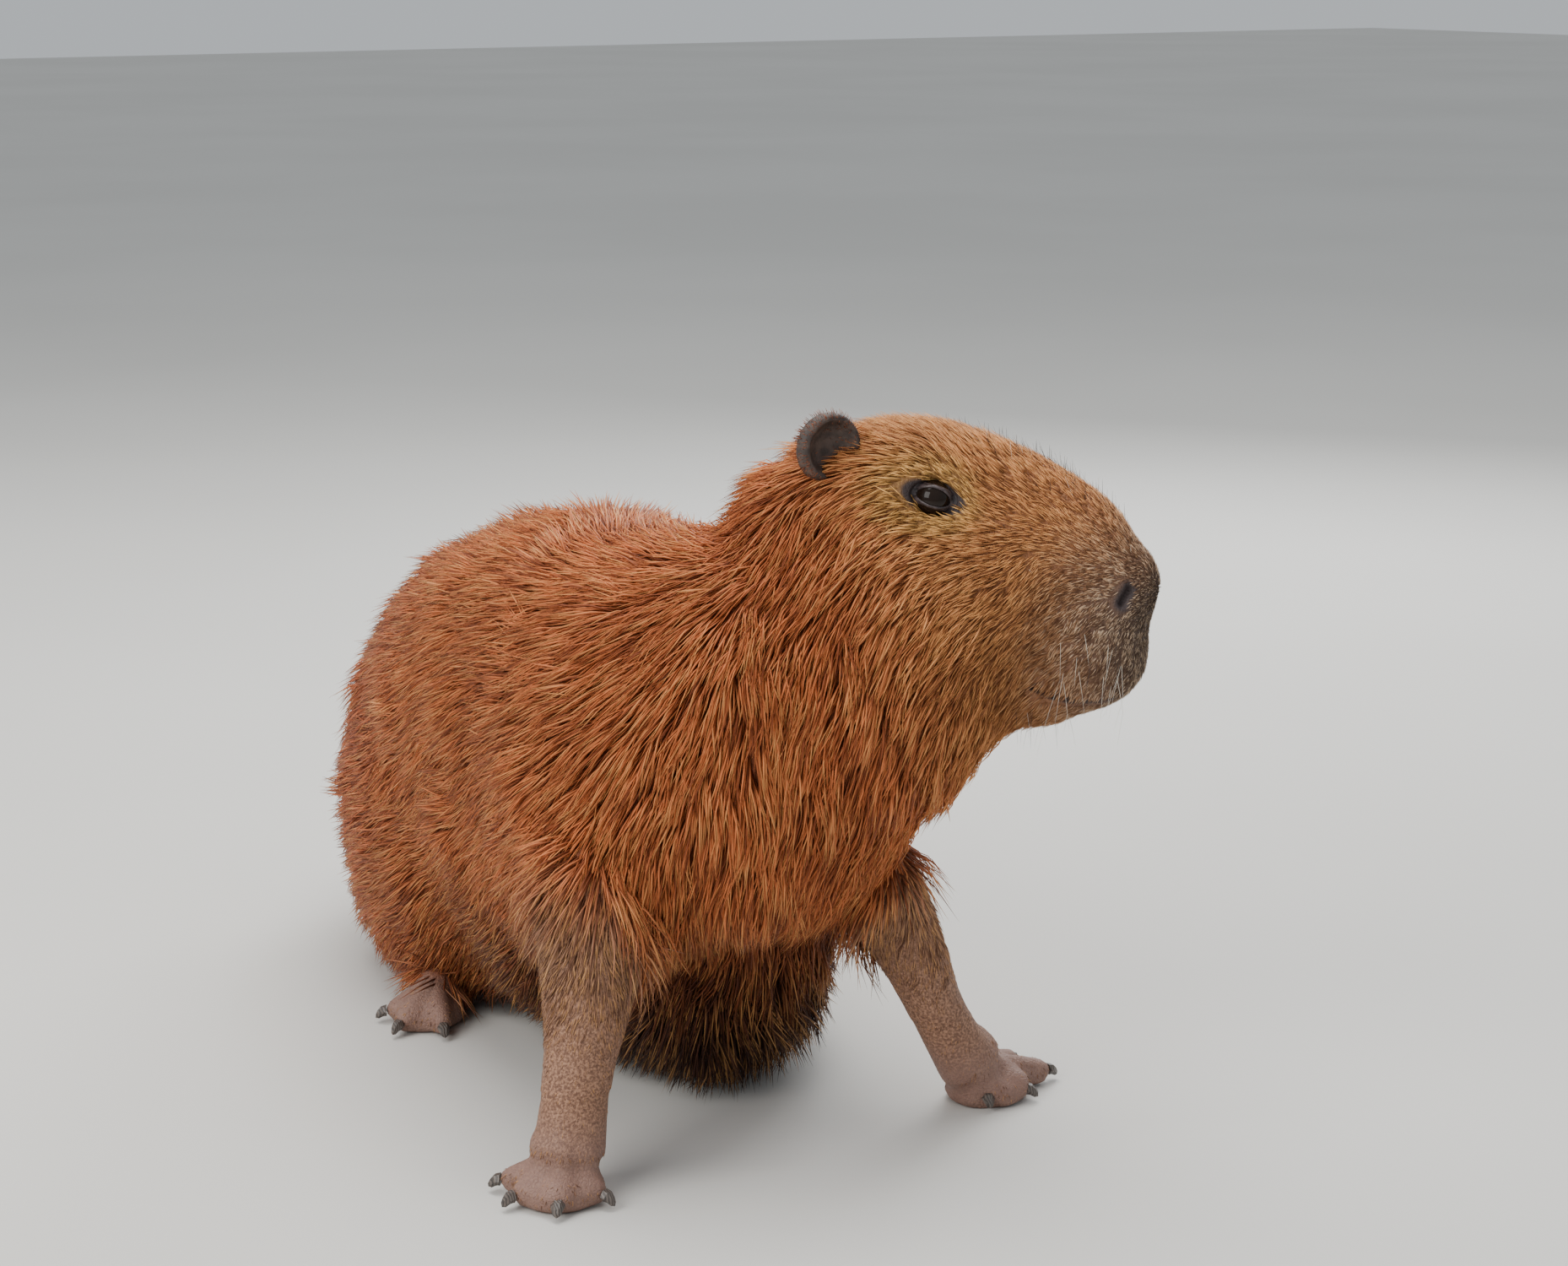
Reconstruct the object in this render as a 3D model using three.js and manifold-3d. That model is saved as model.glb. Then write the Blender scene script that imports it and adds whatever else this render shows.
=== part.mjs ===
// A capybara sitting on its haunches, at life size: rump and haunches on the ground, forelegs straight and
// splayed, the spine curved to the left and the head turned past the left shoulder. Millimetres, +Z up. The
// chest faces -Y, so +X is the animal's left.
import * as THREE from "three";
import { mergeVertices } from "three/addons/utils/BufferGeometryUtils.js";
import Module from "manifold-3d";

const wasm = await Module();
wasm.setup();

const V = (x, y, z) => new THREE.Vector3(x, y, z);
const UP = V(0, 0, 1);
const LEFT = V(1, 0, 0);

// Driving dimensions
const GAP = 0.3; // between one part of the body and the next
const SLIVER = 0.02; // edges and flat faces finer than this are closed up
const HEAD_CENTRE = V(134.8, 1.4, 500); // midway between the eyes
const HEAD_YAW = 57; // degrees that the head is turned to the left of the chest
const HEAD_ROLL = 12; // degrees that the left side of the head is held lower
const EYE_RADIUS = 13.5;
const EYE_BULGE = 3.5; // how far an eyeball stands out of the face
const EYE_OPENING = [14.6, 10.6]; // half the length and height of the line that a pair of lids follows
const LID_THICKNESS = 3.2;
const EAR_RADII = [26, 27]; // half the length and height of an ear
const MOUTH_GROOVE = 2; // radius of the groove along the mouth
const CLAW_LENGTH = 17;
const LOCKS = { torso: 58, neck: 14 }; // locks of long hair on each
const LOCK_LENGTH = [80, 115];
const LOCK_WIDTH = [34, 48];
const LOCK_THICKNESS = 11;
const LOCK_ROOT = 4; // how deep a lock starts under the skin
const LOCK_RISE = [15, 23]; // how far a lock's tip stands off the skin
const LOCK_CLEARANCE = { torso: 95, neck: 62 }; // from a lock's root to a foot's or an ear's middle
const LOWEST_LOCK = 26; // the lowest a root may be
const SKIN_SAG = 9; // how far a flat facet may lie under the smooth skin
const TOE_HEIGHT = 10; // of a toe's middle above the ground

// Colours and finishes of the parts
const finish = (color, roughness = 0.9) => new THREE.MeshStandardMaterial({ color, roughness, metalness: 0 });
const RUST_COAT = finish(0x8a4526);
const GOLD_COAT = finish(0x8f5a2c);
const LEG_HIDE = finish(0x6b4a3c);
const EAR_HIDE = finish(0x2c201d, 0.8);
const EYE_GLOSS = finish(0x0d0908, 0.1);
const CLAW_HORN = finish(0x2b2624, 0.5);

// Fields
// Each field gives a point's distance from a surface, below zero inside it.

function smoothUnion(blend, ...fields) {
  return (p) =>
    fields.reduce((near, field) => {
      const far = field(p);
      const share = Math.max(blend - Math.abs(near - far), 0) / blend;
      return Math.min(near, far) - (share * share * blend) / 4;
    }, 1e6);
}

// An oval body with its own axes: along, side and up are unit vectors, and radii are given in that order.
function ovalField(centre, [along, side, up], [a, b, c]) {
  const q = V(0, 0, 0);
  return (p) => {
    q.subVectors(p, centre);
    const size = Math.hypot(q.dot(along) / a, q.dot(side) / b, q.dot(up) / c);
    return size < 1e-6 ? -Math.min(a, b, c) : q.length() * (1 - 1 / size);
  };
}

// A body of oval sections along a smooth line. A station is [point, half-width, reach above, reach below],
// side points across the body, and caps are how far the two ends bulge past the line. A squareness over 2
// makes the sections boxy.
function sectionBody(stations, { side, caps, squareness = 2, samples = 48 }) {
  const line = new THREE.CatmullRomCurve3(stations.map((s) => s[0]));
  const reach = new THREE.CatmullRomCurve3(stations.map((s) => V(s[1], s[2], s[3])));
  const frames = [];
  for (let i = 0; i <= samples; i++) {
    const t = i / samples;
    const tangent = line.getTangent(t);
    const across = side.clone().addScaledVector(tangent, -side.dot(tangent)).normalize();
    const above = V(0, 0, 0).crossVectors(tangent, across);
    frames.push({ point: line.getPoint(t), tangent, across, above, reach: reach.getPoint(t) });
  }
  const q = V(0, 0, 0);
  const step = V(0, 0, 0);
  const field = (p) => {
    let best = 0;
    let least = Infinity;
    frames.forEach((f, i) => {
      const d = f.point.distanceToSquared(p);
      if (d < least) [least, best] = [d, i];
    });
    // The nearest place between this sample and its neighbour on the side that the point lies on
    const here = frames[best];
    q.subVectors(p, here.point);
    const ahead = q.dot(here.tangent) >= 0;
    const next = frames[Math.min(Math.max(best + (ahead ? 1 : -1), 0), samples)];
    step.subVectors(next.point, here.point);
    const span = step.lengthSq();
    const share = span ? Math.min(Math.max(q.dot(step) / span, 0), 1) : 0;
    q.addScaledVector(step, -share);
    const mix = (name) => here[name].clone().lerp(next[name], share);
    const [tangent, across, above, size] = ["tangent", "across", "above", "reach"].map(mix);
    const along = q.dot(tangent);
    const end = best === 0 && along < 0 ? caps[0] : best === samples && along > 0 ? caps[1] : 0;
    const rise = q.dot(above);
    const sum =
      Math.abs(q.dot(across) / size.x) ** squareness +
      Math.abs(rise / (rise > 0 ? size.y : size.z)) ** squareness +
      (end ? Math.abs(along / end) ** squareness : 0);
    const ratio = sum ** (1 / squareness);
    return ratio < 1e-6 ? -size.x : q.length() * (1 - 1 / ratio);
  };
  return { line, frames, field, side };
}

// Meshes and solids

// A geometry's bare shape: points that share a place joined, and triangles that have closed up left out
function jointed(geometry, tolerance = 1e-3) {
  const bare = new THREE.BufferGeometry().setAttribute("position", geometry.getAttribute("position"));
  if (geometry.index) bare.setIndex(geometry.index);
  const merged = mergeVertices(bare, tolerance);
  const corners = Array.from(merged.index.array);
  const open = (corner, i) => {
    const [a, b, c] = corners.slice(i - (i % 3), i - (i % 3) + 3);
    return a !== b && b !== c && c !== a;
  };
  return merged.setIndex(corners.filter(open));
}

function solidOf(geometry) {
  const merged = jointed(geometry);
  const vertProperties = merged.attributes.position.array;
  const triVerts = new Uint32Array(merged.index.array);
  return new wasm.Manifold(new wasm.Mesh({ numProp: 3, vertProperties, triVerts }));
}

function geometryOf(solid) {
  const mesh = solid.getMesh();
  const position = new THREE.BufferAttribute(new Float32Array(mesh.vertProperties), mesh.numProp);
  const index = new THREE.BufferAttribute(mesh.triVerts, 1);
  return new THREE.BufferGeometry().setAttribute("position", position).setIndex(index);
}

// The main body of a solid, without slivers, crumbs or sealed pockets between locks
function mainBody(solid) {
  const largest = (pieces) => pieces.sort((a, b) => b.volume() - a.volume())[0];
  return largest(largest(solid.decompose()).simplify(SLIVER).decompose());
}
const together = (solids) => solids.reduce((all, one) => all.add(one));

// How far a surface is from a point inside it, looking one way
function reachOf(field, start, out, limit, grow = 0) {
  const p = V(0, 0, 0);
  const inside = (r) => field(p.copy(start).addScaledVector(out, r)) < grow;
  let near = 0;
  let far = 3;
  while (inside(far) && far < limit) {
    near = far;
    far += 3;
  }
  for (let n = 0; n < 12; n++) {
    const middle = (near + far) / 2;
    if (inside(middle)) near = middle;
    else far = middle;
  }
  return near;
}

// Pushes a capsule's points out from a line until they meet the surface of a field. The capsule's middle
// follows the line, and its round ends fan out from the line's two ends.
function wrap(field, line, side, { around, along, ends, reach = 400, grow = 0 }) {
  const length = 10;
  const capsule = jointed(new THREE.CapsuleGeometry(1, length, ends, around, along));
  const points = capsule.getAttribute("position");
  for (let i = 0; i < points.count; i++) {
    const height = Math.min(Math.max(points.getY(i), -length / 2), length / 2);
    const t = height / length + 0.5;
    const tangent = line.getTangent(t);
    const across = side.clone().addScaledVector(tangent, -side.dot(tangent)).normalize();
    const below = V(0, 0, 0).crossVectors(across, tangent);
    const out = V(0, 0, 0)
      .addScaledVector(across, points.getX(i))
      .addScaledVector(tangent, points.getY(i) - height)
      .addScaledVector(below, points.getZ(i))
      .normalize();
    const start = line.getPoint(t);
    start.addScaledVector(out, reachOf(field, start, out, reach, grow));
    points.setXYZ(i, start.x, start.y, start.z);
  }
  return solidOf(capsule);
}

// A half of space: a big block whose face passes through a point, on the side that the normal points to
function halfSpace(point, normal, size = 1600) {
  const block = new THREE.BoxGeometry(size, size, size);
  block.translate(0, 0, size / 2);
  block.applyQuaternion(new THREE.Quaternion().setFromUnitVectors(UP, normal.clone().normalize()));
  block.translate(point.x, point.y, point.z);
  return solidOf(block);
}

// A tapered limb of oval sections, drawn along its own line
function limb(stations, side, caps, grid) {
  const body = sectionBody(stations, { side, caps, samples: 32 });
  return wrap(body.field, body.line, side, grid);
}

// The trunk

const TRUNK_STATIONS = [
  [V(96, 655, 158), 108, 122, 180],
  [V(74, 560, 190), 136, 156, 215],
  [V(40, 420, 236), 147, 172, 232],
  [V(6, 270, 266), 139, 180, 236],
  [V(-6, 140, 285), 126, 164, 160],
  [V(20, 40, 300), 112, 150, 122],
];
const trunk = sectionBody(TRUNK_STATIONS, { side: LEFT, caps: [92, 74], squareness: 2.15 });

const NECK_SIDE = V(0.88, 0.47, 0);
const NECK_STATIONS = [
  [V(2, 130, 295), 122, 136, 130],
  [V(40, 62, 330), 112, 136, 132],
  [V(78, 18, 372), 100, 132, 124],
  [V(108, 4, 412), 84, 110, 104],
];
const neckBody = sectionBody(NECK_STATIONS, { side: NECK_SIDE, caps: [60, 40], samples: 24 });

// The hips are turned a little to the right of the chest, as the spine curves.
const HIP_FORWARD = V(-0.27, -0.963, 0);
const HIP_LEFT = V(0.963, -0.27, 0);
const HIP_AXES = [HIP_FORWARD, HIP_LEFT, UP];
const HIP_CENTRE = V(68, 480, 0);
const THIGH_OUT = 96; // from the middle of the hips to a thigh's centre
const THIGH_AHEAD = { right: 0, left: 34 }; // the left knee is drawn further forward than the right
const THIGH_HEIGHT = 128;
const THIGH_RADII = [160, 76, 138];
const SHOULDER_RADII = [92, 52, 124];
const SHOULDER_OUT = 94;
const BELLY = { centre: V(60, 235, 92), radii: [165, 112, 92] };

// A point in the hips' own frame. Side is -1 for the right and 1 for the left.
const inHips = (side, forward, out, up) =>
  HIP_CENTRE.clone().addScaledVector(HIP_FORWARD, forward).addScaledVector(HIP_LEFT, side * out).setZ(up);
const ahead = (side) => (side > 0 ? THIGH_AHEAD.left : THIGH_AHEAD.right);
const thighCentre = (side) => inHips(side, ahead(side), THIGH_OUT, THIGH_HEIGHT);
const thighField = (side) => ovalField(thighCentre(side), HIP_AXES, THIGH_RADII);
const shoulderField = (side) =>
  ovalField(V(side * SHOULDER_OUT, 112, 242), [V(0, -1, 0), LEFT, UP], SHOULDER_RADII);

// The head

// The head's own frame: f towards the nose, l to its left, u up
const headTurn = new THREE.Quaternion()
  .setFromAxisAngle(UP, THREE.MathUtils.degToRad(HEAD_YAW))
  .multiply(new THREE.Quaternion().setFromAxisAngle(V(0, 1, 0), THREE.MathUtils.degToRad(HEAD_ROLL)));
const HEAD_FORWARD = V(0, -1, 0).applyQuaternion(headTurn);
const HEAD_LEFT = V(1, 0, 0).applyQuaternion(headTurn);
const HEAD_UP = V(0, 0, 1).applyQuaternion(headTurn);
const HEAD_AXES = [HEAD_FORWARD, HEAD_LEFT, HEAD_UP];
const headward = (f, l, u) =>
  V(0, 0, 0).addScaledVector(HEAD_FORWARD, f).addScaledVector(HEAD_LEFT, l).addScaledVector(HEAD_UP, u);
const inHead = (f, l, u) => headward(f, l, u).add(HEAD_CENTRE);

const SKULL_STATIONS = [
  [inHead(-72, 0, -38), 66, 66, 80],
  [inHead(-40, 0, -34), 66, 76, 90],
  [inHead(0, 0, -34), 58, 79, 90],
  [inHead(48, 0, -48), 54, 78, 84],
  [inHead(94, 0, -70), 51, 72, 76],
  [inHead(124, 0, -92), 49, 58, 64],
];
const skull = sectionBody(SKULL_STATIONS, { side: HEAD_LEFT, caps: [60, 38], squareness: 2.6 });
const JAW_STATIONS = [
  [inHead(-40, 0, -108), 58, 50, 50],
  [inHead(30, 0, -128), 46, 50, 48],
  [inHead(92, 0, -147), 33, 34, 36],
];
const jaw = sectionBody(JAW_STATIONS, { side: HEAD_LEFT, caps: [40, 26], samples: 24 });
const pair = (make) => [make(1), make(-1)];
const cheeks = pair((side) => ovalField(inHead(-4, side * 28, -86), HEAD_AXES, [86, 46, 66]));
const brows = pair((side) => ovalField(inHead(-4, side * 42, 6), HEAD_AXES, [32, 16, 14]));
const lips = pair((side) => ovalField(inHead(126, side * 19, -131), HEAD_AXES, [33, 27, 31]));

const headField = smoothUnion(30, skull.field, jaw.field, ...cheeks, ...brows, ...lips);
const bellyField = ovalField(BELLY.centre, HIP_AXES, BELLY.radii);
const trunkField = smoothUnion(46, trunk.field, bellyField, ...pair(thighField), ...pair(shoulderField));
const bodyField = smoothUnion(40, trunkField, neckBody.field, headField);

const EAR_PLACE = (side) => [-76, side * 58, 24];

// Torso, neck, head and thighs

const ground = halfSpace(V(0, 0, 0), V(0, 0, -1));
const NECK_CUT = { point: V(34, 60, 335), normal: V(0.42, -0.66, 0.62).normalize() };
const HEAD_CUT = { point: inHead(-98, 0, 30), normal: headward(0.93, 0, 0.367).normalize() };
const pastCut = ({ point, normal }, extra) => halfSpace(point.clone().addScaledVector(normal, extra), normal);

const headLine = new THREE.LineCurve3(inHead(-50, 0, -62), inHead(92, 0, -92));
const HEAD_GRID = { around: 38, along: 13, ends: 7, reach: 220 };
const wholeHead = wrap(bodyField, headLine, HEAD_LEFT, HEAD_GRID);
const headRoom = wrap(bodyField, headLine, HEAD_LEFT, { ...HEAD_GRID, grow: GAP });
const neckShape = { around: 32, along: 9, ends: 3, reach: 240 };
const neckLine = new THREE.LineCurve3(V(-16, 150, 285), V(112, -4, 425));
const wholeNeck = wrap(bodyField, neckLine, NECK_SIDE, neckShape);
const neckRoom = wrap(bodyField, neckLine, NECK_SIDE, { ...neckShape, grow: GAP });
const TORSO_GRID = { around: 34, along: 20, ends: 6, reach: 330 };
// The torso is wrapped from a line lower than its sections, which puts the belly within even reach.
const torsoLine = new THREE.CatmullRomCurve3([
  V(100, 640, 150),
  V(84, 540, 160),
  V(58, 420, 170),
  V(34, 270, 185),
  V(8, 140, 228),
  V(20, 50, 295),
]);
const torsoField = smoothUnion(40, trunkField, neckBody.field);
const wholeTorso = wrap(torsoField, torsoLine, LEFT, TORSO_GRID);
const torsoRoom = wrap(torsoField, torsoLine, LEFT, { ...TORSO_GRID, grow: GAP });

// Locks of the long coat

// Park and Miller's steady random numbers, from 0 to 1
let seed = 20731;
function random() {
  seed = (seed * 16807) % 2147483647;
  return seed / 2147483647;
}
const between = ([low, high]) => low + (high - low) * random();

function outwardFrom(field, p) {
  const slope = [V(1, 0, 0), V(0, 1, 0), V(0, 0, 1)].map((axis) => {
    const here = p.clone().addScaledVector(axis, 2);
    return field(here) - field(here.addScaledVector(axis, -4));
  });
  return V(...slope).normalize();
}

// Which way the hair lies: back and down over the body, and straight down over the chest and throat
function hairLie(p) {
  const chest = THREE.MathUtils.smoothstep(p.y, -40, 170);
  return V(0.24 * chest, 0.15 + 0.7 * chest, -1 + 0.35 * chest).normalize();
}

// One lock, bent along the surface from its root. Its section is a flat diamond that tapers to the tip.
function lock(field, root) {
  const [length, width, rise] = [LOCK_LENGTH, LOCK_WIDTH, LOCK_RISE].map(between);
  const sway = (random() - 0.5) * 0.9;
  const steps = 3;
  const place = root.clone();
  const rows = [];
  for (let i = 0; i <= steps; i++) {
    const t = i / steps;
    const out = outwardFrom(field, place);
    place.addScaledVector(out, -field(place));
    const lie = hairLie(place).applyAxisAngle(out, sway * t);
    lie.addScaledVector(out, -lie.dot(out)).normalize();
    const across = V(0, 0, 0).crossVectors(lie, out);
    const height = rise * t ** 0.85 - LOCK_ROOT * (1 - t) ** 2;
    const centre = place.clone().addScaledVector(out, height);
    rows.push({ centre, across, out, half: (width / 2) * Math.sin(Math.PI * (0.28 + 0.72 * t)) ** 0.8 });
    place.addScaledVector(lie, length / steps);
  }
  const shape = jointed(new THREE.ConeGeometry(1, 1, 4, steps));
  const points = shape.getAttribute("position");
  for (let i = 0; i < points.count; i++) {
    const t = points.getY(i) + 0.5;
    const { centre, across, out, half } = rows[Math.round(t * steps)];
    const shrink = 1 / Math.max(1 - t, 1e-6);
    const thick = (LOCK_THICKNESS / 2) * (1 - 0.5 * t) * Math.sign(1.001 - t);
    const p = centre.clone();
    if (t < 0.999) p.addScaledVector(across, points.getX(i) * shrink * half);
    if (t < 0.999) p.addScaledVector(out, points.getZ(i) * shrink * thick);
    points.setXYZ(i, p.x, p.y, p.z);
  }
  return solidOf(shape);
}

// Roots are spread evenly: each new one is the best of several tries, the one furthest from those before it.
function lockRoots(body, count, allowed) {
  const places = geometryOf(body).toNonIndexed().getAttribute("position");
  const corner = (n) => V(0, 0, 0).fromBufferAttribute(places, n);
  const roots = [];
  const tryOne = () => {
    const first = Math.floor(random() * (places.count / 3)) * 3;
    const [a, b] = [random(), random()].sort();
    const place = corner(first).multiplyScalar(a).addScaledVector(corner(first + 1), b - a);
    return place.addScaledVector(corner(first + 2), 1 - b);
  };
  const room = (p) => Math.min(1e4, ...roots.map((root) => root.distanceTo(p)));
  for (let n = 0; n < count; n++) {
    const tries = [...Array(60)].map(tryOne).filter(allowed);
    roots.push(tries.sort((p, q) => room(q) - room(p))[0]);
  }
  return roots;
}
const locksOn = (field, body, count, allowed) =>
  together(lockRoots(body, count, allowed).map((root) => lock(field, root)));

const FORELEGS = {
  right: {
    leg: [
      [V(-102, 90, 262), 44, 54, 54],
      [V(-120, 66, 200), 42, 46, 44],
      [V(-140, 42, 136), 34, 34, 34],
      [V(-160, 26, 76), 27, 25, 26],
      [V(-172, 16, 34), 30, 26, 24],
    ],
    palm: V(-176, 14, 0),
    toes: [V(-219, 52, 0), V(-228, 14, 0), V(-205, -24, 0), V(-160, -28, 0)],
  },
  left: {
    leg: [
      [V(84, 70, 262), 38, 50, 54],
      [V(102, 36, 200), 35, 40, 42],
      [V(128, 12, 136), 28, 30, 30],
      [V(152, 2, 76), 23, 22, 24],
      [V(178, 0, 34), 28, 24, 24],
    ],
    palm: V(192, 4, 0),
    toes: [V(258, 44, 0), V(268, 4, 0), V(226, -26, 0), V(180, -26, 0)],
  },
};
const HIND_FEET = {
  leg: [
    [34, 84, 52],
    [84, 108, 40],
    [116, 126, 24],
  ],
  palm: [120, 130, 0],
  toes: [
    [112, 178, 0],
    [156, 172, 0],
    [176, 132, 0],
  ],
};

const legShape = { around: 14, along: 9, ends: 3 };
const LEG_CAPS = [30, 16];
const wholeLeg = (word, grow) => limb(FORELEGS[word].leg, LEFT, LEG_CAPS, { ...legShape, grow });
const legRoom = together(["left", "right"].map((word) => wholeLeg(word, GAP)));
const tender = ["left", "right"].map((word) => FORELEGS[word].palm);
pair((side) => tender.push(inHips(side, ...HIND_FEET.palm), inHead(...EAR_PLACE(side))));
const clearOf = (p, distance) => tender.every((place) => place.distanceTo(p) > distance);

const plainNeck = wholeNeck.subtract(pastCut(HEAD_CUT, 0)).intersect(pastCut(NECK_CUT, GAP));
const plainTorso = wholeTorso.subtract(pastCut(NECK_CUT, 0)).subtract(ground);
const open = (p, clearance) => p.z > LOWEST_LOCK && bodyField(p) > -SKIN_SAG && clearOf(p, clearance);
const neckLocks = locksOn(bodyField, plainNeck, LOCKS.neck, (p) => open(p, LOCK_CLEARANCE.neck));
const torsoLocks = locksOn(torsoField, plainTorso, LOCKS.torso, (p) => open(p, LOCK_CLEARANCE.torso));
const neck = plainNeck.add(neckLocks.subtract(pastCut(HEAD_CUT, 0)).intersect(pastCut(NECK_CUT, GAP)));
const outside = together([legRoom, pastCut(NECK_CUT, 0), ground]);
const torsoBlock = plainTorso.add(torsoLocks.subtract(outside));

// The region of the body that is a thigh: an oval drawn forwards and up, reaching out to one side
function thighRegion(side, grow) {
  const outline = new THREE.Shape();
  outline.absellipse(0, 0, THIGH_RADII[0] - 20 + grow, THIGH_RADII[2] + 6 + grow, 0, Math.PI * 2);
  const block = new THREE.ExtrudeGeometry(outline, { depth: 300, bevelEnabled: false, curveSegments: 14 });
  const forward = HIP_FORWARD.clone().multiplyScalar(-side);
  const outward = HIP_LEFT.clone().multiplyScalar(side);
  const basis = new THREE.Matrix4().makeBasis(forward, UP, outward);
  block.applyMatrix4(basis.setPosition(inHips(side, ahead(side), THIGH_OUT - 40 - grow, THIGH_HEIGHT)));
  return solidOf(block);
}
const thighs = pair((side) => torsoBlock.intersect(thighRegion(side, 0)));
const torso = torsoBlock.subtract(together(pair((side) => thighRegion(side, GAP))));

// Eyes, lids, nostrils and mouth

const sphere = (centre, radius, round = 16, high = 10) =>
  solidOf(new THREE.SphereGeometry(radius, round, high).rotateX(Math.PI / 2).translate(...centre.toArray()));
const eyeSide = reachOf(bodyField, inHead(0, 0, -12), HEAD_LEFT, 200) + EYE_BULGE - EYE_RADIUS;
const eyeCentre = (side) => inHead(0, side * eyeSide, -12);

// A pair of lids: one band that runs round the eye's opening, pointed at its two corners
function lidsAround(side) {
  const around = [...Array(16).keys()].map((i) => {
    const turn = (i / 16) * Math.PI * 2;
    const f = EYE_OPENING[0] * Math.cos(turn);
    const lift = EYE_OPENING[1] * Math.sign(Math.sin(turn)) * Math.abs(Math.sin(turn)) ** 1.2;
    const u = lift - 0.16 * f;
    const out = Math.sqrt((EYE_RADIUS + 1.5) ** 2 - Math.min(f * f + lift * lift, 200));
    return headward(f, side * out, u).add(eyeCentre(side));
  });
  const line = new THREE.CatmullRomCurve3(around, true);
  return solidOf(new THREE.TubeGeometry(line, 22, LID_THICKNESS, 6, true));
}

// A round-ended rod along a curve, with which a groove is cut
function groove(points, radius, steps) {
  const extrudePath = new THREE.CatmullRomCurve3(points);
  const section = new THREE.Shape().absarc(0, 0, radius, 0, Math.PI * 2);
  const options = { steps, curveSegments: 3, bevelEnabled: false, extrudePath };
  const ends = [0, 1].map((t) => sphere(extrudePath.getPoint(t), radius * 1.04, 8, 6));
  return together([solidOf(new THREE.ExtrudeGeometry(section, options)), ...ends]);
}

// Places on the face: f along the head and u up it, on one side or in the middle of the muzzle's front
const onSide = (side, f, u) => inHead(f, side * reachOf(bodyField, inHead(f, 0, u), HEAD_LEFT, 200), u);
const onFront = (u) => inHead(110 + reachOf(bodyField, inHead(110, 0, u), HEAD_FORWARD, 200), 0, u);
const mouthSide = (side) => [onSide(side, 78, -152), onSide(side, 102, -160), onSide(side, 128, -160)];
const mouthLine = [...mouthSide(-1), onFront(-158), ...mouthSide(1).reverse()];
const lipCleft = [onFront(-104), onFront(-130), onFront(-150), onFront(-158)];
const nostril = (side) => [onSide(side, 145, -80), onSide(side, 140, -86), onSide(side, 133, -93)];
const grooves = together([
  groove(mouthLine, MOUTH_GROOVE, 20),
  groove(lipCleft, MOUTH_GROOVE * 0.8, 10),
  ...pair((side) => groove(nostril(side), 3.4, 5)),
]);
const head = wholeHead
  .intersect(pastCut(HEAD_CUT, GAP))
  .subtract(grooves)
  .add(together(pair(lidsAround)))
  .subtract(together(pair((side) => sphere(eyeCentre(side), EYE_RADIUS + GAP))));

// Ears

// A rounded cup that opens outwards, standing on a short root
function earCup(side) {
  const place = inHead(...EAR_PLACE(side));
  const f = headward(0.92, side * -0.39, 0).normalize();
  const u = headward(-0.16, side * 0.3, 0.94).normalize();
  const out = V(0, 0, 0).crossVectors(u, f).normalize();
  const up = V(0, 0, 0).crossVectors(f, out);
  const turn = new THREE.Matrix4().makeBasis(f, out, up);
  const oval = (radii, shift) => {
    const ball = new THREE.SphereGeometry(1, 14, 9).rotateX(Math.PI / 2).scale(...radii);
    ball.translate(...shift);
    return solidOf(ball.applyMatrix4(turn.clone().setPosition(place)));
  };
  const [long, tall] = EAR_RADII;
  const outward = out.dot(HEAD_LEFT) * side > 0 ? 1 : -1;
  const shell = oval([long, 13, tall], [0, 0, 0]);
  const hollow = oval([long - 5, 13, tall - 6], [3, outward * 8, 1]);
  const root = oval([16, 12, 22], [6, outward * -4, -22]);
  return shell.add(root).subtract(hollow).subtract(headRoom).subtract(neckRoom);
}

// Legs, feet and claws

const flatDirection = (from, to) => V(to.x - from.x, to.y - from.y, 0).normalize();

// A toe runs from the palm to where its claw starts, with a knuckle a little above the line between them.
function toe(palm, tip) {
  const ahead = flatDirection(palm, tip);
  const end = tip.clone().addScaledVector(ahead, -CLAW_LENGTH).setZ(TOE_HEIGHT);
  const root = palm.clone().setZ(27);
  const knuckle = root.clone().lerp(end, 0.55).setZ(18);
  const across = V(-ahead.y, ahead.x, 0);
  const stations = [
    [root, 13, 12, 24],
    [knuckle, 12, 10, 17],
    [end, 9, 8.5, 11],
  ];
  return limb(stations, across, [5, 8], { around: 8, along: 3, ends: 2 });
}

// A blunt claw: it starts flat against the toe and bends down to the ground.
function claw(palm, tip) {
  const ahead = flatDirection(palm, tip);
  const across = V(-ahead.y, ahead.x, 0);
  const start = tip.clone().addScaledVector(ahead, 8.6 - CLAW_LENGTH).setZ(TOE_HEIGHT + 0.6);
  const stations = [
    [start.clone().addScaledVector(ahead, -4), 5.8, 5.4, 5],
    [start.clone().addScaledVector(ahead, 3).setZ(TOE_HEIGHT), 5.2, 4.6, 4.4],
    [start.clone().addScaledVector(ahead, 8).setZ(TOE_HEIGHT - 4.4), 2.6, 2.4, 2.4],
  ];
  const body = limb(stations, across, [2, 2], { around: 6, along: 4, ends: 1 });
  return body.intersect(halfSpace(start, ahead)).subtract(ground);
}

// The foot's end is cut off flat, so that its claw has a face to stand against.
const clawRoom = (palm, tip) => {
  const ahead = flatDirection(palm, tip);
  const face = tip.clone().addScaledVector(ahead, 8.6 - CLAW_LENGTH - GAP).setZ(0);
  const room = new THREE.BoxGeometry(24, 24, 60).translate(12, 0, 0);
  room.applyQuaternion(new THREE.Quaternion().setFromUnitVectors(LEFT, ahead));
  return solidOf(room.translate(...face.toArray()));
};

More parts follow.
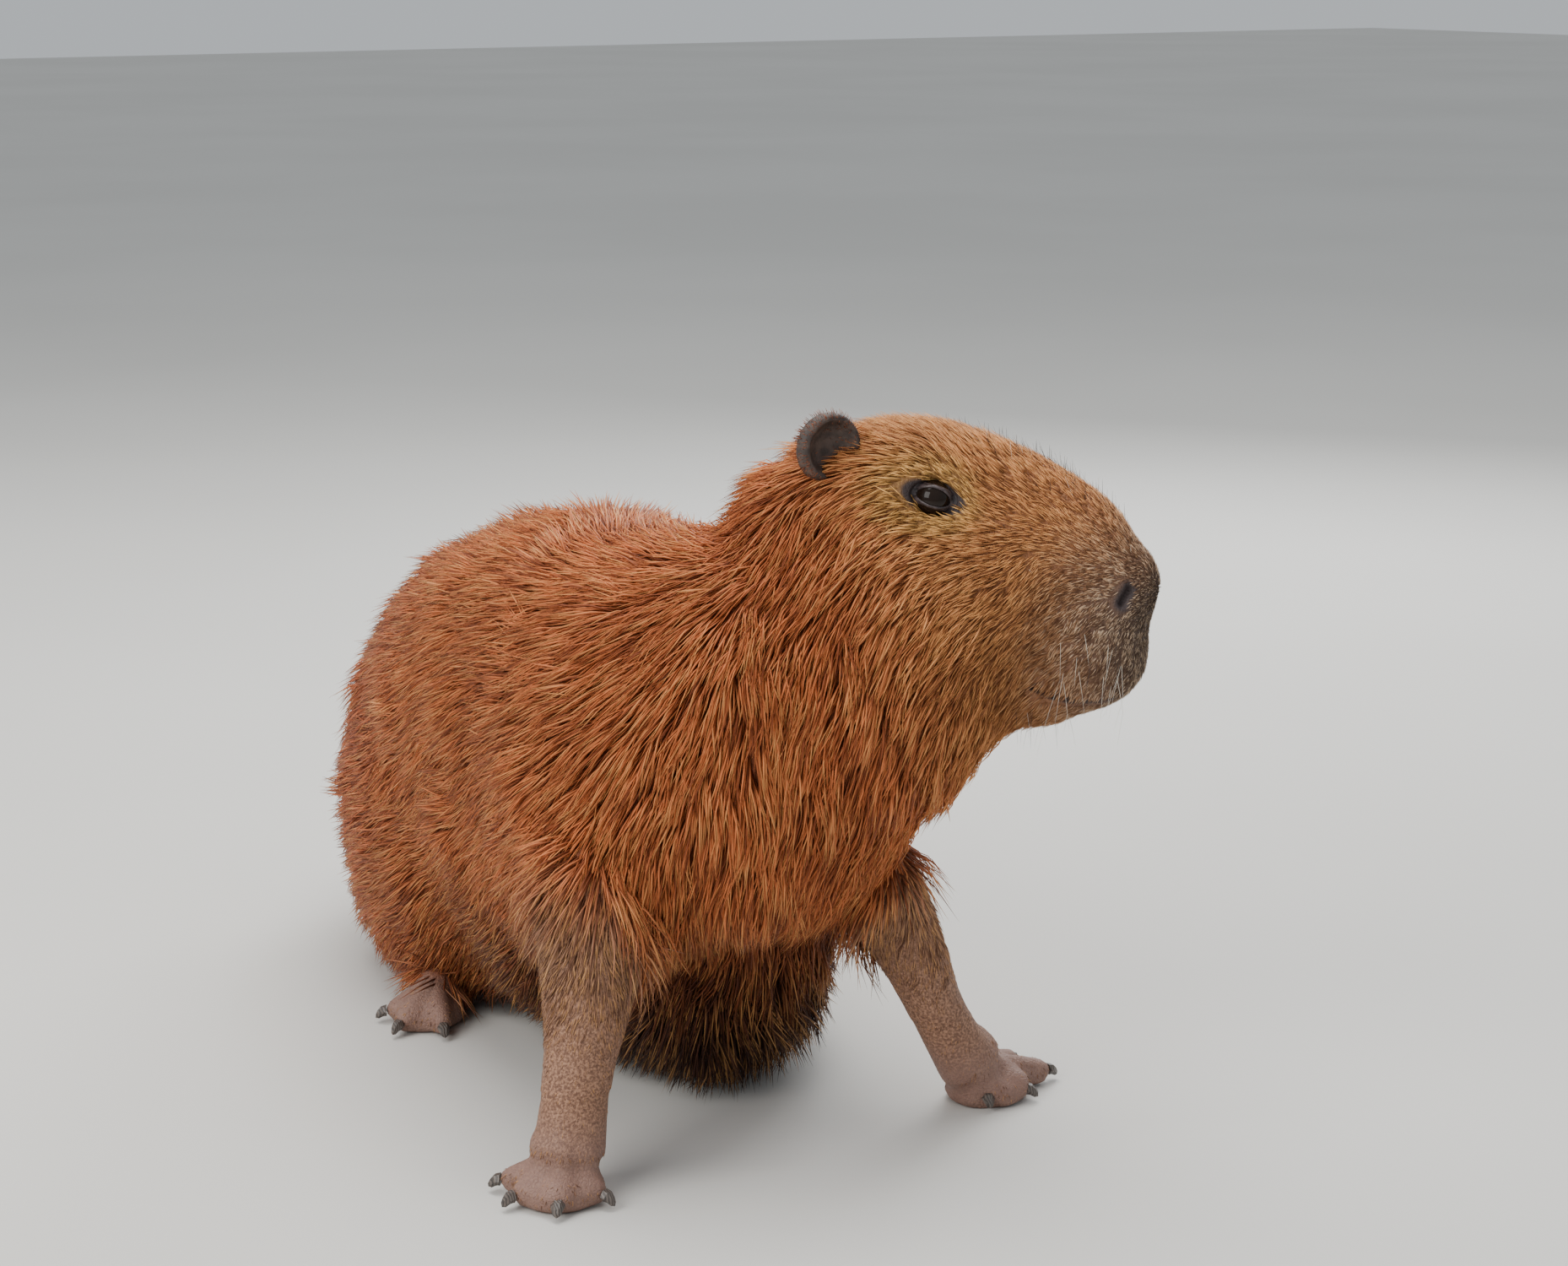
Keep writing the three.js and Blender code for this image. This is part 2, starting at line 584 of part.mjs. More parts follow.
function pawOf(palm, toes, width) {
  const middle = toes.reduce((sum, tip) => sum.add(tip), V(0, 0, 0)).divideScalar(toes.length);
  const ahead = flatDirection(palm, middle);
  const pad = palm.clone().addScaledVector(ahead, 6);
  const web = new THREE.SphereGeometry(1, 14, 7).rotateX(Math.PI / 2).scale(36, width, 17);
  web.applyQuaternion(new THREE.Quaternion().setFromUnitVectors(LEFT, ahead)).translate(pad.x, pad.y, 11);
  const whole = together([solidOf(web), ...toes.map((tip) => toe(palm, tip))]);
  return whole.subtract(together(toes.map((tip) => clawRoom(palm, tip))));
}

// The model

const model = new THREE.Group();
const addPart = (name, solid, material) => {
  const mesh = new THREE.Mesh(geometryOf(mainBody(solid)), material);
  mesh.name = name;
  model.add(mesh);
};
const addClaws = (name, palm, toes) =>
  toes.forEach((tip, i) => addPart(`${name}_${i + 1}`, claw(palm, tip), CLAW_HORN));

addPart("torso", torso, RUST_COAT);
addPart("neck", neck, RUST_COAT);
addPart("head", head, GOLD_COAT);
[
  [1, "left"],
  [-1, "right"],
].forEach(([side, word], i) => {
  addPart(`thigh_${word}`, thighs[i], RUST_COAT);
  addPart(`eye_${word}`, sphere(eyeCentre(side), EYE_RADIUS), EYE_GLOSS);
  addPart(`ear_${word}`, earCup(side), EAR_HIDE);

  const { leg, palm, toes } = FORELEGS[word];
  const paw = pawOf(palm, toes, 34).subtract(ground);
  const wrist = { point: leg[3][0], normal: V(0, 0, -1) };
  const whole = wholeLeg(word, 0).subtract(ground);
  addPart(`foreleg_${word}`, whole.subtract(pastCut(wrist, 0)).subtract(torsoRoom), LEG_HIDE);
  addPart(`forefoot_${word}`, whole.intersect(pastCut(wrist, GAP)).add(paw), LEG_HIDE);
  addClaws(`claw_front_${word}`, palm, toes);

  const hips = ([forward, out, up]) => inHips(side, forward, out, up);
  const hindToes = HIND_FEET.toes.map(hips);
  const hindPalm = hips(HIND_FEET.palm);
  const shank = HIND_FEET.leg.map(hips).map((point, n) => [point, 24 - n * 2, 26 - n * 3, 40 - n * 8]);
  const hindPaw = pawOf(hindPalm, hindToes, 30);
  const hindFoot = hindPaw.add(limb(shank, HIP_LEFT, [20, 12], { around: 12, along: 5, ends: 2 }));
  addPart(`hind_foot_${word}`, hindFoot.subtract(torsoRoom).subtract(ground), LEG_HIDE);
  addClaws(`claw_hind_${word}`, hindPalm, hindToes);
});

// The origin is on the ground, under the middle of the whole model.
const bounds = new THREE.Box3().setFromObject(model);
const middle = bounds.getCenter(V(0, 0, 0));
model.position.set(-middle.x, -middle.y, -bounds.min.z);

export default model;
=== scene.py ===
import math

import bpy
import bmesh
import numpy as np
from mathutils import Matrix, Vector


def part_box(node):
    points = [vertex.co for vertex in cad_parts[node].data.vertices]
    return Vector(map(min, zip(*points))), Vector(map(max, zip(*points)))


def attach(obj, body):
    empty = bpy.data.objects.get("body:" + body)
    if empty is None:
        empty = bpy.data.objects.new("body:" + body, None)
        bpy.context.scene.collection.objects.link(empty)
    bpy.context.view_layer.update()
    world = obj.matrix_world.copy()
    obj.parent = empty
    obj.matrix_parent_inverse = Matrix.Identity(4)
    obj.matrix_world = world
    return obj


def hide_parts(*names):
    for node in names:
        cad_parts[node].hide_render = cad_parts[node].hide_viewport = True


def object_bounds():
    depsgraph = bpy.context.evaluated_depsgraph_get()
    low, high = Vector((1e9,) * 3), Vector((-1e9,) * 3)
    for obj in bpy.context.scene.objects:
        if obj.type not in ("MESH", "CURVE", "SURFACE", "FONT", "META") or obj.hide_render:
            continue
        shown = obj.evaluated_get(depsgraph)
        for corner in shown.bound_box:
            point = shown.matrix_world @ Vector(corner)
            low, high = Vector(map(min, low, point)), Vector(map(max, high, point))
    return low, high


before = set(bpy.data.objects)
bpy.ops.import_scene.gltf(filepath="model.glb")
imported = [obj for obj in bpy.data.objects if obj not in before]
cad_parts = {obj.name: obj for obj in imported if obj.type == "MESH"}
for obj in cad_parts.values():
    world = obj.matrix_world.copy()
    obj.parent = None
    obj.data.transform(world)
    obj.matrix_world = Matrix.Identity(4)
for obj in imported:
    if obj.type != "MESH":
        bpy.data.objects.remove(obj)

# %% [markdown]
# # A capybara sitting on its haunches
#
# The solid model gives the true outline and size. This lesson dresses it: one skin over the whole body,
# then eyes, lids and ears, and last the coat, which is made of more than a hundred thousand small tufts.
# Every piece lies in the same frame as the solids, in metres, with the floor at height zero.

# %% [markdown]
# ## Tools and places
#
# A head has directions of its own: forward to the nose, left, and up. They could be typed in as numbers,
# but the two eyes of the solid model already give them. So a nostril or a lip is placed by how far it lies
# in front of the brow, beside it and below it, which is how one would point at it on the animal.

import openvdb
from mathutils import Vector
from mathutils.bvhtree import BVHTree

cad_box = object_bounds()
UP = np.array([0.0, 0.0, 1.0])


def vec(*numbers):
    return np.array(numbers, float)


def unit(v):
    return v / np.maximum(np.linalg.norm(v, axis=-1, keepdims=True), 1e-12)


def middle(node):
    low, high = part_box(node)
    return np.array((low + high) / 2)


def link(name, data):
    made = bpy.data.objects.new(name, data)
    bpy.context.scene.collection.objects.link(made)
    return made


def smooth(low, high, x):
    # Rises from 0 at low to 1 at high, level at both ends
    t = np.clip((x - low) / (high - low), 0, 1)
    return t * t * (3 - 2 * t)


EYES = {side: middle(f"eye_{side}") for side in ("left", "right")}
SIDES = {"left": 1, "right": -1}
EYE_RADIUS = 0.0135
HEAD_LEFT = unit(EYES["left"] - EYES["right"])
HEAD_FORWARD = unit(np.cross(HEAD_LEFT, UP))
HEAD_UP = unit(np.cross(HEAD_FORWARD, HEAD_LEFT))
BROW = (EYES["left"] + EYES["right"]) / 2 + HEAD_UP * 0.012


def in_head(f, l, u):
    return BROW + HEAD_FORWARD * f + HEAD_LEFT * l + HEAD_UP * u


def head_places(points):
    rel = points - BROW
    return rel @ HEAD_FORWARD, rel @ HEAD_LEFT, rel @ HEAD_UP


print("box of the solids", [round(v, 3) for v in (*cad_box[0], *cad_box[1])])
print("head forward", HEAD_FORWARD.round(3), "left", HEAD_LEFT.round(3), "up", HEAD_UP.round(3))

# %% [markdown]
# ## The view
#
# The animal is seen on its right side from a little above. A camera could be set by eye, but then every
# length in the picture would be a little off. So the lens and the place come from matching feet, nose, ear
# and back with the picture. The place is given from the right eye, because that is what was matched.

# %% Camera
MATCHED_ORIGIN = EYES["right"] - vec(0.10532, -0.04206, 0.49924)
CAMERA_PLACE = vec(-1.17095, -1.80781, 0.9)
CAMERA_HEADING = (0.545, 0.839)
CAMERA_TILT = math.radians(12.983)
PICTURE_WIDTH, FOCAL_PIXELS, SENSOR = 1858, 3600, 36
camera = link("camera", bpy.data.cameras.new("camera"))
camera.data.sensor_width = SENSOR
camera.data.lens = SENSOR * FOCAL_PIXELS / PICTURE_WIDTH
camera.data.clip_start = 0.05
camera.data.clip_end = 60
level = math.cos(CAMERA_TILT)
look = Vector((CAMERA_HEADING[0] * level, CAMERA_HEADING[1] * level, -math.sin(CAMERA_TILT)))
camera.location = Vector(MATCHED_ORIGIN + CAMERA_PLACE)
camera.rotation_euler = look.to_track_quat("-Z", "Y").to_euler()
bpy.context.scene.camera = camera
print("camera at", [round(v, 3) for v in camera.location])

# %% [markdown]
# ## Materials as arithmetic
#
# A material in Blender is a graph of nodes. It could be wired link by link, but such a script is hard to
# read. Here a small class wraps a socket, so that a sum or a product of sockets adds its own Math node. A
# second class holds one material, and makes any other node from its type, its settings and its sockets.

# %% Shader sums
class Wire:
    # A socket that can stand in a sum or a product
    def __init__(self, tree, socket):
        self.tree = tree
        self.socket = socket

    def _sum(self, operation, first, second):
        node = self.tree.nodes.new("ShaderNodeMath")
        node.operation = operation
        plug(self.tree, node.inputs[0], first)
        plug(self.tree, node.inputs[1], second)
        return Wire(self.tree, node.outputs[0])

    def __add__(self, other):
        return self._sum("ADD", self, other)

    def __radd__(self, other):
        return self._sum("ADD", other, self)

    def __mul__(self, other):
        return self._sum("MULTIPLY", self, other)

    def __rmul__(self, other):
        return self._sum("MULTIPLY", other, self)


def plug(tree, socket, value):
    if isinstance(value, Wire):
        tree.links.new(value.socket, socket)
    elif isinstance(value, (tuple, list)) and len(value) == 3 and socket.type == "RGBA":
        socket.default_value = (*value, 1)
    else:
        socket.default_value = value


class Shade:
    # One material. A node gets its settings first and then the values or links of its sockets
    def __init__(self, name):
        self.material = bpy.data.materials.new(name)
        self.material.use_nodes = True
        self.tree = self.material.node_tree
        self.tree.nodes.clear()

    def node(self, kind, settings=None, output=0, **sockets):
        made = self.tree.nodes.new("ShaderNode" + kind)
        for word, value in (settings or {}).items():
            setattr(made, word, value)
        for word, value in sockets.items():
            plug(self.tree, made.inputs[word.replace("_", " ")], value)
        return Wire(self.tree, made.outputs[output])

    def place(self):
        return self.node("TexCoord", output="Object")

    def noise(self, scale, detail=3.0):
        return self.node("TexNoise", Vector=self.place(), Scale=scale, Detail=detail)

    def read(self, name):
        return self.node("Attribute", {"attribute_name": name}, output="Fac")

    def blend(self, first, second, share, mode="MIX"):
        node = self.tree.nodes.new("ShaderNodeMix")
        node.data_type = "RGBA"
        node.blend_type = mode
        plug(self.tree, node.inputs[0], share)
        plug(self.tree, node.inputs[6], first)
        plug(self.tree, node.inputs[7], second)
        return Wire(self.tree, node.outputs[2])

    def ramp(self, value, low, high):
        settings = {"interpolation_type": "SMOOTHSTEP"}
        return self.node("MapRange", settings, Value=value, From_Min=low, From_Max=high)

    def bump(self, height, distance, strength):
        return self.node("Bump", Height=height, Distance=distance, Strength=strength)

    def finish(self, **sockets):
        surface = self.node("BsdfPrincipled", **sockets)
        out = self.tree.nodes.new("ShaderNodeOutputMaterial")
        self.tree.links.new(surface.socket, out.inputs[0])
        return self.material


print("sums of sockets are ready")

# %% [markdown]
# ## Floor and light
#
# The animal sits outdoors on a bright day. One small strong lamp would draw hard shadows between the tufts,
# so three large soft lights are used on a pale, dull floor. The one from above and behind gives the back
# its pale edge, the one from the side shows the face and the flank, and the weak one lifts the far side.

# %% Stage
FLOOR_HALF = 20


def stage_floor():
    mesh = bpy.data.meshes.new("floor")
    shape = bmesh.new()
    bmesh.ops.create_grid(shape, x_segments=1, y_segments=1, size=FLOOR_HALF)
    shape.to_mesh(mesh)
    shape.free()
    floor = link("floor", mesh)
    shade = Shade("floor")
    tone = shade.ramp(shade.noise(0.6), 0.3, 0.7)
    colour = shade.blend((0.62, 0.61, 0.58), (0.66, 0.65, 0.62), tone)
    mesh.materials.append(shade.finish(Base_Color=colour, Roughness=0.9))


def soft_light(name, place, target, size, power, colour=(1, 1, 1)):
    light = bpy.data.lights.new(name, "AREA")
    light.size = size
    light.energy = power
    light.color = colour
    lamp = link(name, light)
    lamp.location = place
    lamp.rotation_euler = (Vector(target) - Vector(place)).to_track_quat("-Z", "Y").to_euler()


stage_floor()
soft_light("sky_light", (0.2, 0.5, 3.2), (0, 0, 0.2), 2.6, 120, (1.0, 0.98, 0.95))
soft_light("side_light", (-2.6, -0.6, 1.9), (0, 0, 0.25), 2.0, 73, (1.0, 0.97, 0.93))
soft_light("rim_light", (2.2, 1.4, 1.6), (0.1, -0.2, 0.35), 1.4, 40, (0.97, 0.98, 1.0))
world = bpy.data.worlds.new("world")
bpy.context.scene.world = world
world.use_nodes = True
world.node_tree.nodes["Background"].inputs["Color"].default_value = (0.78, 0.82, 0.86, 1)
world.node_tree.nodes["Background"].inputs["Strength"].default_value = 0.66
print("floor and lights made")

# %% [markdown]
# ## One skin
#
# On the real animal one skin runs over trunk, neck, head and legs with no seam. The solids meet along cuts
# and carry coarse locks. They could be joined and smoothed as meshes, but the cuts would leave creases.
# So copies of them become a field: a fine grid that says how far each place lies from the surface, less
# than zero inside. On a field it is easy to close the cuts, wear off whatever is thin, and round the joins.

# %% Distance fields
VOXEL = 0.0037
# How many cells on each side of the surface hold a distance
BAND = 8
MARGIN = 0.04
LOWEST = np.floor((np.array(cad_box[0]) - MARGIN) / VOXEL).astype(int)
SHAPE = tuple(np.ceil((np.array(cad_box[1]) + MARGIN) / VOXEL).astype(int) - LOWEST)


def triangles_of(names):
    points, faces, start = [], [], 0
    for name in names:
        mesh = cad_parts[name].data
        mesh.calc_loop_triangles()
        place = np.zeros(len(mesh.vertices) * 3, np.float32)
        corners = np.zeros(len(mesh.loop_triangles) * 3, np.int32)
        mesh.vertices.foreach_get("co", place)
        mesh.loop_triangles.foreach_get("vertices", corners)
        points.append(place.reshape(-1, 3))
        faces.append(corners.reshape(-1, 3) + start)
        start += len(mesh.vertices)
    return np.vstack(points), np.vstack(faces)


def level_grid(points, faces, voxel, quads=None):
    made = {"transform": openvdb.createLinearTransform(voxel), "halfWidth": BAND}
    if quads is not None:
        made["quads"] = quads
    return openvdb.FloatGrid.createLevelSetFromPolygons(points, triangles=faces, **made)


def to_array(grid, lowest=LOWEST, shape=SHAPE, voxel=VOXEL):
    field = np.full(shape, BAND * voxel, np.float32)
    grid.copyToArray(field, ijk=tuple(int(v) for v in lowest))
    return field


def to_surface(field, lowest=LOWEST, voxel=VOXEL):
    grid = openvdb.FloatGrid(BAND * voxel)
    grid.copyFromArray(np.ascontiguousarray(field, np.float32), ijk=tuple(int(v) for v in lowest))
    grid.transform = openvdb.createLinearTransform(voxel)
    grid.gridClass = openvdb.GridClass.LEVEL_SET
    return grid.convertToQuads(isovalue=0)


def shifted(field, radius, pick):
    # The highest or lowest value within a ball round each cell
    steps = range(-radius, radius + 1)
    result = field.copy()
    for i in steps:
        for j in steps:
            for k in steps:
                if 0 < i * i + j * j + k * k <= radius * radius + 1:
                    result = pick(result, np.roll(field, (i, j, k), (0, 1, 2)))
    return result


def blurred(field, rounds):
    # Each round mixes every cell with its six neighbours
    for _ in range(rounds):
        for axis in range(3):
            field = (np.roll(field, 1, axis) + 2 * field + np.roll(field, -1, axis)) / 4
    return field


def sample(field, points):
    # The field's value at any place, mixed from the eight cells round it
    q = points / VOXEL - LOWEST
    i = np.clip(np.floor(q).astype(int), 0, np.array(SHAPE) - 2)
    t = q - i
    total = 0
    for corner in np.ndindex(2, 2, 2):
        share = np.prod(np.where(corner, t, 1 - t), axis=1)
        x, y, z = (i + corner).T
        total = total + share * field[x, y, z]
    return total


# %% [markdown]
# The gap between two solids is a hair's breadth, but the grid sees it. So the flesh is drawn a little too
# large, which closes the gaps, and the new surface, measured again, is brought back to its true size.

# %% Fields of the flesh
BODY = ["torso", "neck", "thigh_left", "thigh_right"]
LEGS = ["foreleg_left", "foreleg_right"]
FEET = ["forefoot_left", "forefoot_right", "hind_foot_left", "hind_foot_right"]
FLESH = [*BODY, "head", *LEGS, *FEET]
body_field = to_array(level_grid(*triangles_of(BODY), VOXEL))
head_field = to_array(level_grid(*triangles_of(["head"]), VOXEL))
leg_field = to_array(level_grid(*triangles_of(LEGS), VOXEL))
foot_field = to_array(level_grid(*triangles_of(FEET), VOXEL))
# More than half of the widest gap between two solids
CLOSING = 0.0015
joined = to_array(level_grid(*triangles_of(FLESH), VOXEL)) - CLOSING
points, quads = to_surface(joined)
whole = to_array(level_grid(points, None, VOXEL, quads)) + CLOSING
print("grid", SHAPE, "outer surface", len(quads), "faces")

# %% [markdown]
# ## Under the coat
#
# The solids reach out to the tips of the coat, so the skin has to lie deeper, or the hair that is added
# later would make the animal too fat. It could be pushed in along its normals, but these cross in folds. On
# the field it is one sum, with its own depth for body, head, legs and feet. The locks are worn off first:
# the outside grows in by a few cells and back again, and whatever is thinner than that doesn't return.

# %% Wearing the locks away and sinking the skin
LOCK_CELLS = 3
TRUNK_ROUNDS = 14
FACE_ROUNDS = 2
JOIN = 0.006
# The feet keep a little more than their size, so that the claws stay rooted
COAT_DEPTH = {"body": 0.0065, "head": 0.0024, "leg": 0.0008, "foot": -0.0005}


def nearer(field, others):
    # 1 where the first part is nearer than the others, 0 where it is farther, smooth between
    return smooth(-JOIN, JOIN, others - field)


opened = shifted(shifted(whole, LOCK_CELLS, np.maximum), LOCK_CELLS, np.minimum)
limbs = np.minimum(leg_field, foot_field)
on_body = nearer(body_field, np.minimum(head_field, limbs))
on_head = nearer(head_field, limbs) * (1 - on_body)
on_leg = nearer(leg_field, foot_field) * (1 - on_body - on_head)
foot_share = 1 - on_body - on_head - on_leg
depth = blurred(
    COAT_DEPTH["body"] * on_body
    + COAT_DEPTH["head"] * on_head
    + COAT_DEPTH["leg"] * on_leg
    + COAT_DEPTH["foot"] * foot_share,
    3,
)
body_share = blurred(on_body, 2)
plain_part = foot_share * whole + (1 - foot_share) * blurred(whole, FACE_ROUNDS)
skin_field = body_share * blurred(opened, TRUNK_ROUNDS) + (1 - body_share) * plain_part + depth
skin_points, skin_quads = to_surface(skin_field)
print("skin", len(skin_points), "points", len(skin_quads), "faces")

# %% [markdown]
# ## From field to mesh
#
# A mesh from a field is even all over, which is more than a trunk needs and less than a face needs. A few
# helpers are enough to read it, to divide a part of it, and to ask where a line meets it.

# %% Helpers for meshes
def mesh_object(name, points, faces):
    mesh = bpy.data.meshes.new(name)
    mesh.from_pydata(points.tolist(), [], faces.tolist())
    return link(name, mesh)


def look_smooth(mesh):
    for polygon in mesh.polygons:
        polygon.use_smooth = True


def read_points(mesh, word="co"):
    values = np.zeros(len(mesh.vertices) * 3, np.float32)
    mesh.vertices.foreach_get(word, values)
    return values.reshape(-1, 3).astype(float)


def read_normals(mesh):
    return read_points(mesh, "normal")


def divide(mesh, wanted, rounds):
    # Halves the edges of the faces whose corners are all wanted, and smooths the new points
    shape = bmesh.new()
    shape.from_mesh(mesh)
    shape.verts.ensure_lookup_table()
    edges = {e for f in shape.faces if all(wanted[v.index] for v in f.verts) for e in f.edges}
    cut = bmesh.ops.subdivide_edges(shape, edges=list(edges), cuts=1, use_grid_fill=True)
    inner = [v for v in cut["geom_inner"] if isinstance(v, bmesh.types.BMVert)]
    for _ in range(rounds):
        axes = {"use_axis_x": True, "use_axis_y": True, "use_axis_z": True}
        bmesh.ops.smooth_vert(shape, verts=inner, factor=0.5, **axes)
    shape.to_mesh(mesh)
    shape.free()


def bare_tree(points, faces):
    return BVHTree.FromPolygons(points.tolist(), faces.tolist())


first, second, third = (skin_points[skin_quads[:, i]] for i in range(3))
# A volume below zero means that the faces of a field's mesh point inwards
TURNED = np.einsum("ij,ij->i", first, np.cross(second, third)).sum() < 0
if TURNED:
    skin_quads = skin_quads[:, ::-1]
first_skin = bare_tree(skin_points, skin_quads)
print("faces of a field's mesh had to be turned:", bool(TURNED))

# %% [markdown]
# ## Lines of the face
#
# The nostrils, the mouth and the cleft of the upper lip are grooves. Each is a line on the skin, given by a
# few places as seen from the side or the front. The places could be points in space, but then they might
# float: here each one is the spot where a straight line hits the skin.

# %% Lines of the face
def on_side(side, f, u):
    # The skin's place beside a point of the head's middle plane, or None where there is none
    start = in_head(f, SIDES[side] * 0.15, u)
    hit = first_skin.ray_cast(Vector(start), Vector(-SIDES[side] * HEAD_LEFT), 0.2)[0]
    return np.array(hit) if hit else None


def on_front(u):
    # The skin's place in front of the head's middle line
    hit = first_skin.ray_cast(Vector(in_head(0.25, 0, u)), Vector(-HEAD_FORWARD), 0.3)[0]
    return np.array(hit)


def bend(places, steps=8):
    # Close-set places along the straight stretches between a few given ones
    places = np.array(places)
    t = np.linspace(0, len(places) - 1, steps * (len(places) - 1) + 1)
    return np.stack([np.interp(t, range(len(places)), places[:, i]) for i in range(3)], axis=1)


NOSTRIL = [(0.1440, -0.0785), (0.1412, -0.0835), (0.1385, -0.0885)]
nostrils = {side: bend([on_side(side, f, u) for f, u in NOSTRIL]) for side in SIDES}
MOUTH = [(0.074, -0.150), (0.088, -0.1565), (0.104, -0.160), (0.122, -0.160), (0.136, -0.157)]
mouth = {side: bend([on_side(side, f, u) for f, u in MOUTH]) for side in SIDES}
CLEFT = (-0.098, -0.112, -0.126, -0.140, -0.150)
cleft = bend([on_front(u) for u in CLEFT])
print("lines of the face have", len(nostrils["left"]), len(mouth["left"]), len(cleft), "places")

# %% [markdown]
# ## A finer face
#
# Lids, nostrils and lips are only a few millimetres deep, less than a face of the even mesh. The whole
# skin could be made finer, but then it would have millions of faces. So the face is divided once, and the
# parts beside its lines and round the eyes once more.

# %% Skin with a finer face
MARK_REACH = 0.011
EYE_REACH = 0.030


def gap_to(points, line):
    # How far each point lies from the nearest place of a line
    best = np.full(len(points), 9.0)
    for place in line:
        best = np.minimum(best, np.linalg.norm(points - place, axis=1))
    return best


skin = mesh_object("skin", skin_points, skin_quads)
points = read_points(skin.data)
f, l, u = head_places(points)
in_face = (f > -0.045) & (u > -0.19) & (points[:, 2] > 0.27)
divide(skin.data, in_face, 2)
points = read_points(skin.data)
marks = [*nostrils.values(), *mouth.values(), cleft]
near_mark = np.min([gap_to(points, line) for line in marks], axis=0) < MARK_REACH
near_eye = np.min([gap_to(points, [EYES[side]]) for side in SIDES], axis=0) < EYE_REACH
divide(skin.data, near_mark | near_eye, 2)
print("skin with a finer face", len(skin.data.vertices), "points")

# %% [markdown]
# ## Shaping the face
#
# The nostril is a slanting slit with a swollen rim, the upper lip is split up to the nose, and the mouth is
# short and set low. The eye is set high. Each of these could be cut out with another mesh, but a cut leaves
# a hard edge in soft skin. So the points move along their normals instead, the more the nearer they are to
# a line: first the wide swellings, then the narrow grooves, and the hollow that the eyeball lies in.

# %% Shaping the face
EYE_SLANT = math.radians(-17)
# Half the length and half the height of the opening between the lids
OPENING = (0.0148, 0.0078)
# How wide and how high a swelling is. Below zero it is a groove
NOSTRIL_RIM, NOSTRIL_SLIT = (0.0095, 0.0022), (0.0030, -0.0095)
LIP_RIM, MOUTH_SLIT = (0.0075, 0.0010), (0.0022, -0.0048)
LIP_CLEFT = (0.0026, -0.0038)
SOCKET = (0.0185, 0.0125)
EYE_RIM, EYE_RIM_HEIGHT = (0.024, 0.0155), 0.0016


def eye_axes(side):
    out = HEAD_LEFT * SIDES[side]
    along = HEAD_FORWARD * math.cos(EYE_SLANT) + HEAD_UP * math.sin(EYE_SLANT)
    return along, np.cross(HEAD_LEFT, along), out


def eye_places(points, side):
    # Along the opening, across it, and out of the head
    along, high, out = eye_axes(side)
    rel = points - EYES[side]
    return rel @ along, -(rel @ high), rel @ out


def move(points, normals, line, width, amount):
    near = np.exp(-((gap_to(points, line) / width) ** 2))
    return points + normals * (near * amount)[:, None]


points = read_points(skin.data)
normals = read_normals(skin.data)
for side in SIDES:
    points = move(points, normals, nostrils[side], *NOSTRIL_RIM)
    points = move(points, normals, mouth[side], *LIP_RIM)
    x, y, z = eye_places(points, side)
    ring = np.hypot(x / EYE_RIM[0], y / EYE_RIM[1])
    swell = np.exp(-(((ring - 1.15) / 0.35) ** 2)) * (z > 0)
    points = points + normals * (swell * EYE_RIM_HEIGHT)[:, None]
for side in SIDES:
    points = move(points, normals, nostrils[side], *NOSTRIL_SLIT)
    points = move(points, normals, mouth[side], *MOUTH_SLIT)
    x, y, z = eye_places(points, side)
    inside = 1 - smooth(0.72, 1.0, np.hypot(x / SOCKET[0], y / SOCKET[1]))
    ball = np.sqrt(np.maximum(EYE_RADIUS**2 - x * x - y * y, 0)) - 0.004
    drop = np.maximum(z - ball, 0) * inside * (z > -0.004)
    points = points - (HEAD_LEFT * SIDES[side]) * drop[:, None]
points = move(points, normals, cleft, *LIP_CLEFT)
print("face shaped with", len(marks), "lines and two eye hollows")

# %% [markdown]
# ## Toes
#
# The toes are short and thick, with a web between them. On the even mesh they have melted into one pad. They
# could be made as pieces of their own, but then they would need joins. Each claw already shows where its toe
# ends, so the skin is raised along a line from the claw to the wrist, and sunk a little between the lines.

# %% Toes
TOE_WIDTH = 0.0075
TOE_HEIGHT = 0.0022
LOWEST_SKIN = 0.0004
rays = []
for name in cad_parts:
    if name.startswith("claw"):
        corner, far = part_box(("forefoot_" if "front" in name else "hind_foot_") + name.split("_")[2])
        wrist = vec((corner.x + far.x) / 2, (corner.y + far.y) / 2, far.z * 0.55)
        tip = middle(name)
        knuckle = tip + (wrist - tip) * 0.45 + UP * 0.006
        rays.append(bend([tip + UP * 0.004, knuckle, wrist + UP * 0.012]))
near_ray = np.min([gap_to(points, ray) for ray in rays], axis=0)
on_foot = np.clip(sample(foot_share, points), 0, 1) * smooth(0.003, 0.010, points[:, 2])
ridge = TOE_HEIGHT * np.exp(-((near_ray / TOE_WIDTH) ** 2)) - TOE_HEIGHT * smooth(0.008, 0.016, near_ray)
points = points + normals * (ridge * on_foot)[:, None]
points[:, 2] = np.maximum(points[:, 2], LOWEST_SKIN)
skin.data.vertices.foreach_set("co", points.astype(np.float32).ravel())
look_smooth(skin.data)
skin.data.update()
print("toes raised", len(rays))

# %% [markdown]
# ## Lids
#
# The lids are thick, dark and bare, with a rounded edge that rests on the ball, and they are long at both
# corners. They could be raised out of the skin, but its mesh is too coarse for an edge of a millimetre. So a
# pair of lids is one closed band of its own. It starts inside the head, turns over its edge on the eyeball
# and runs out under the skin, where its end can't be seen.

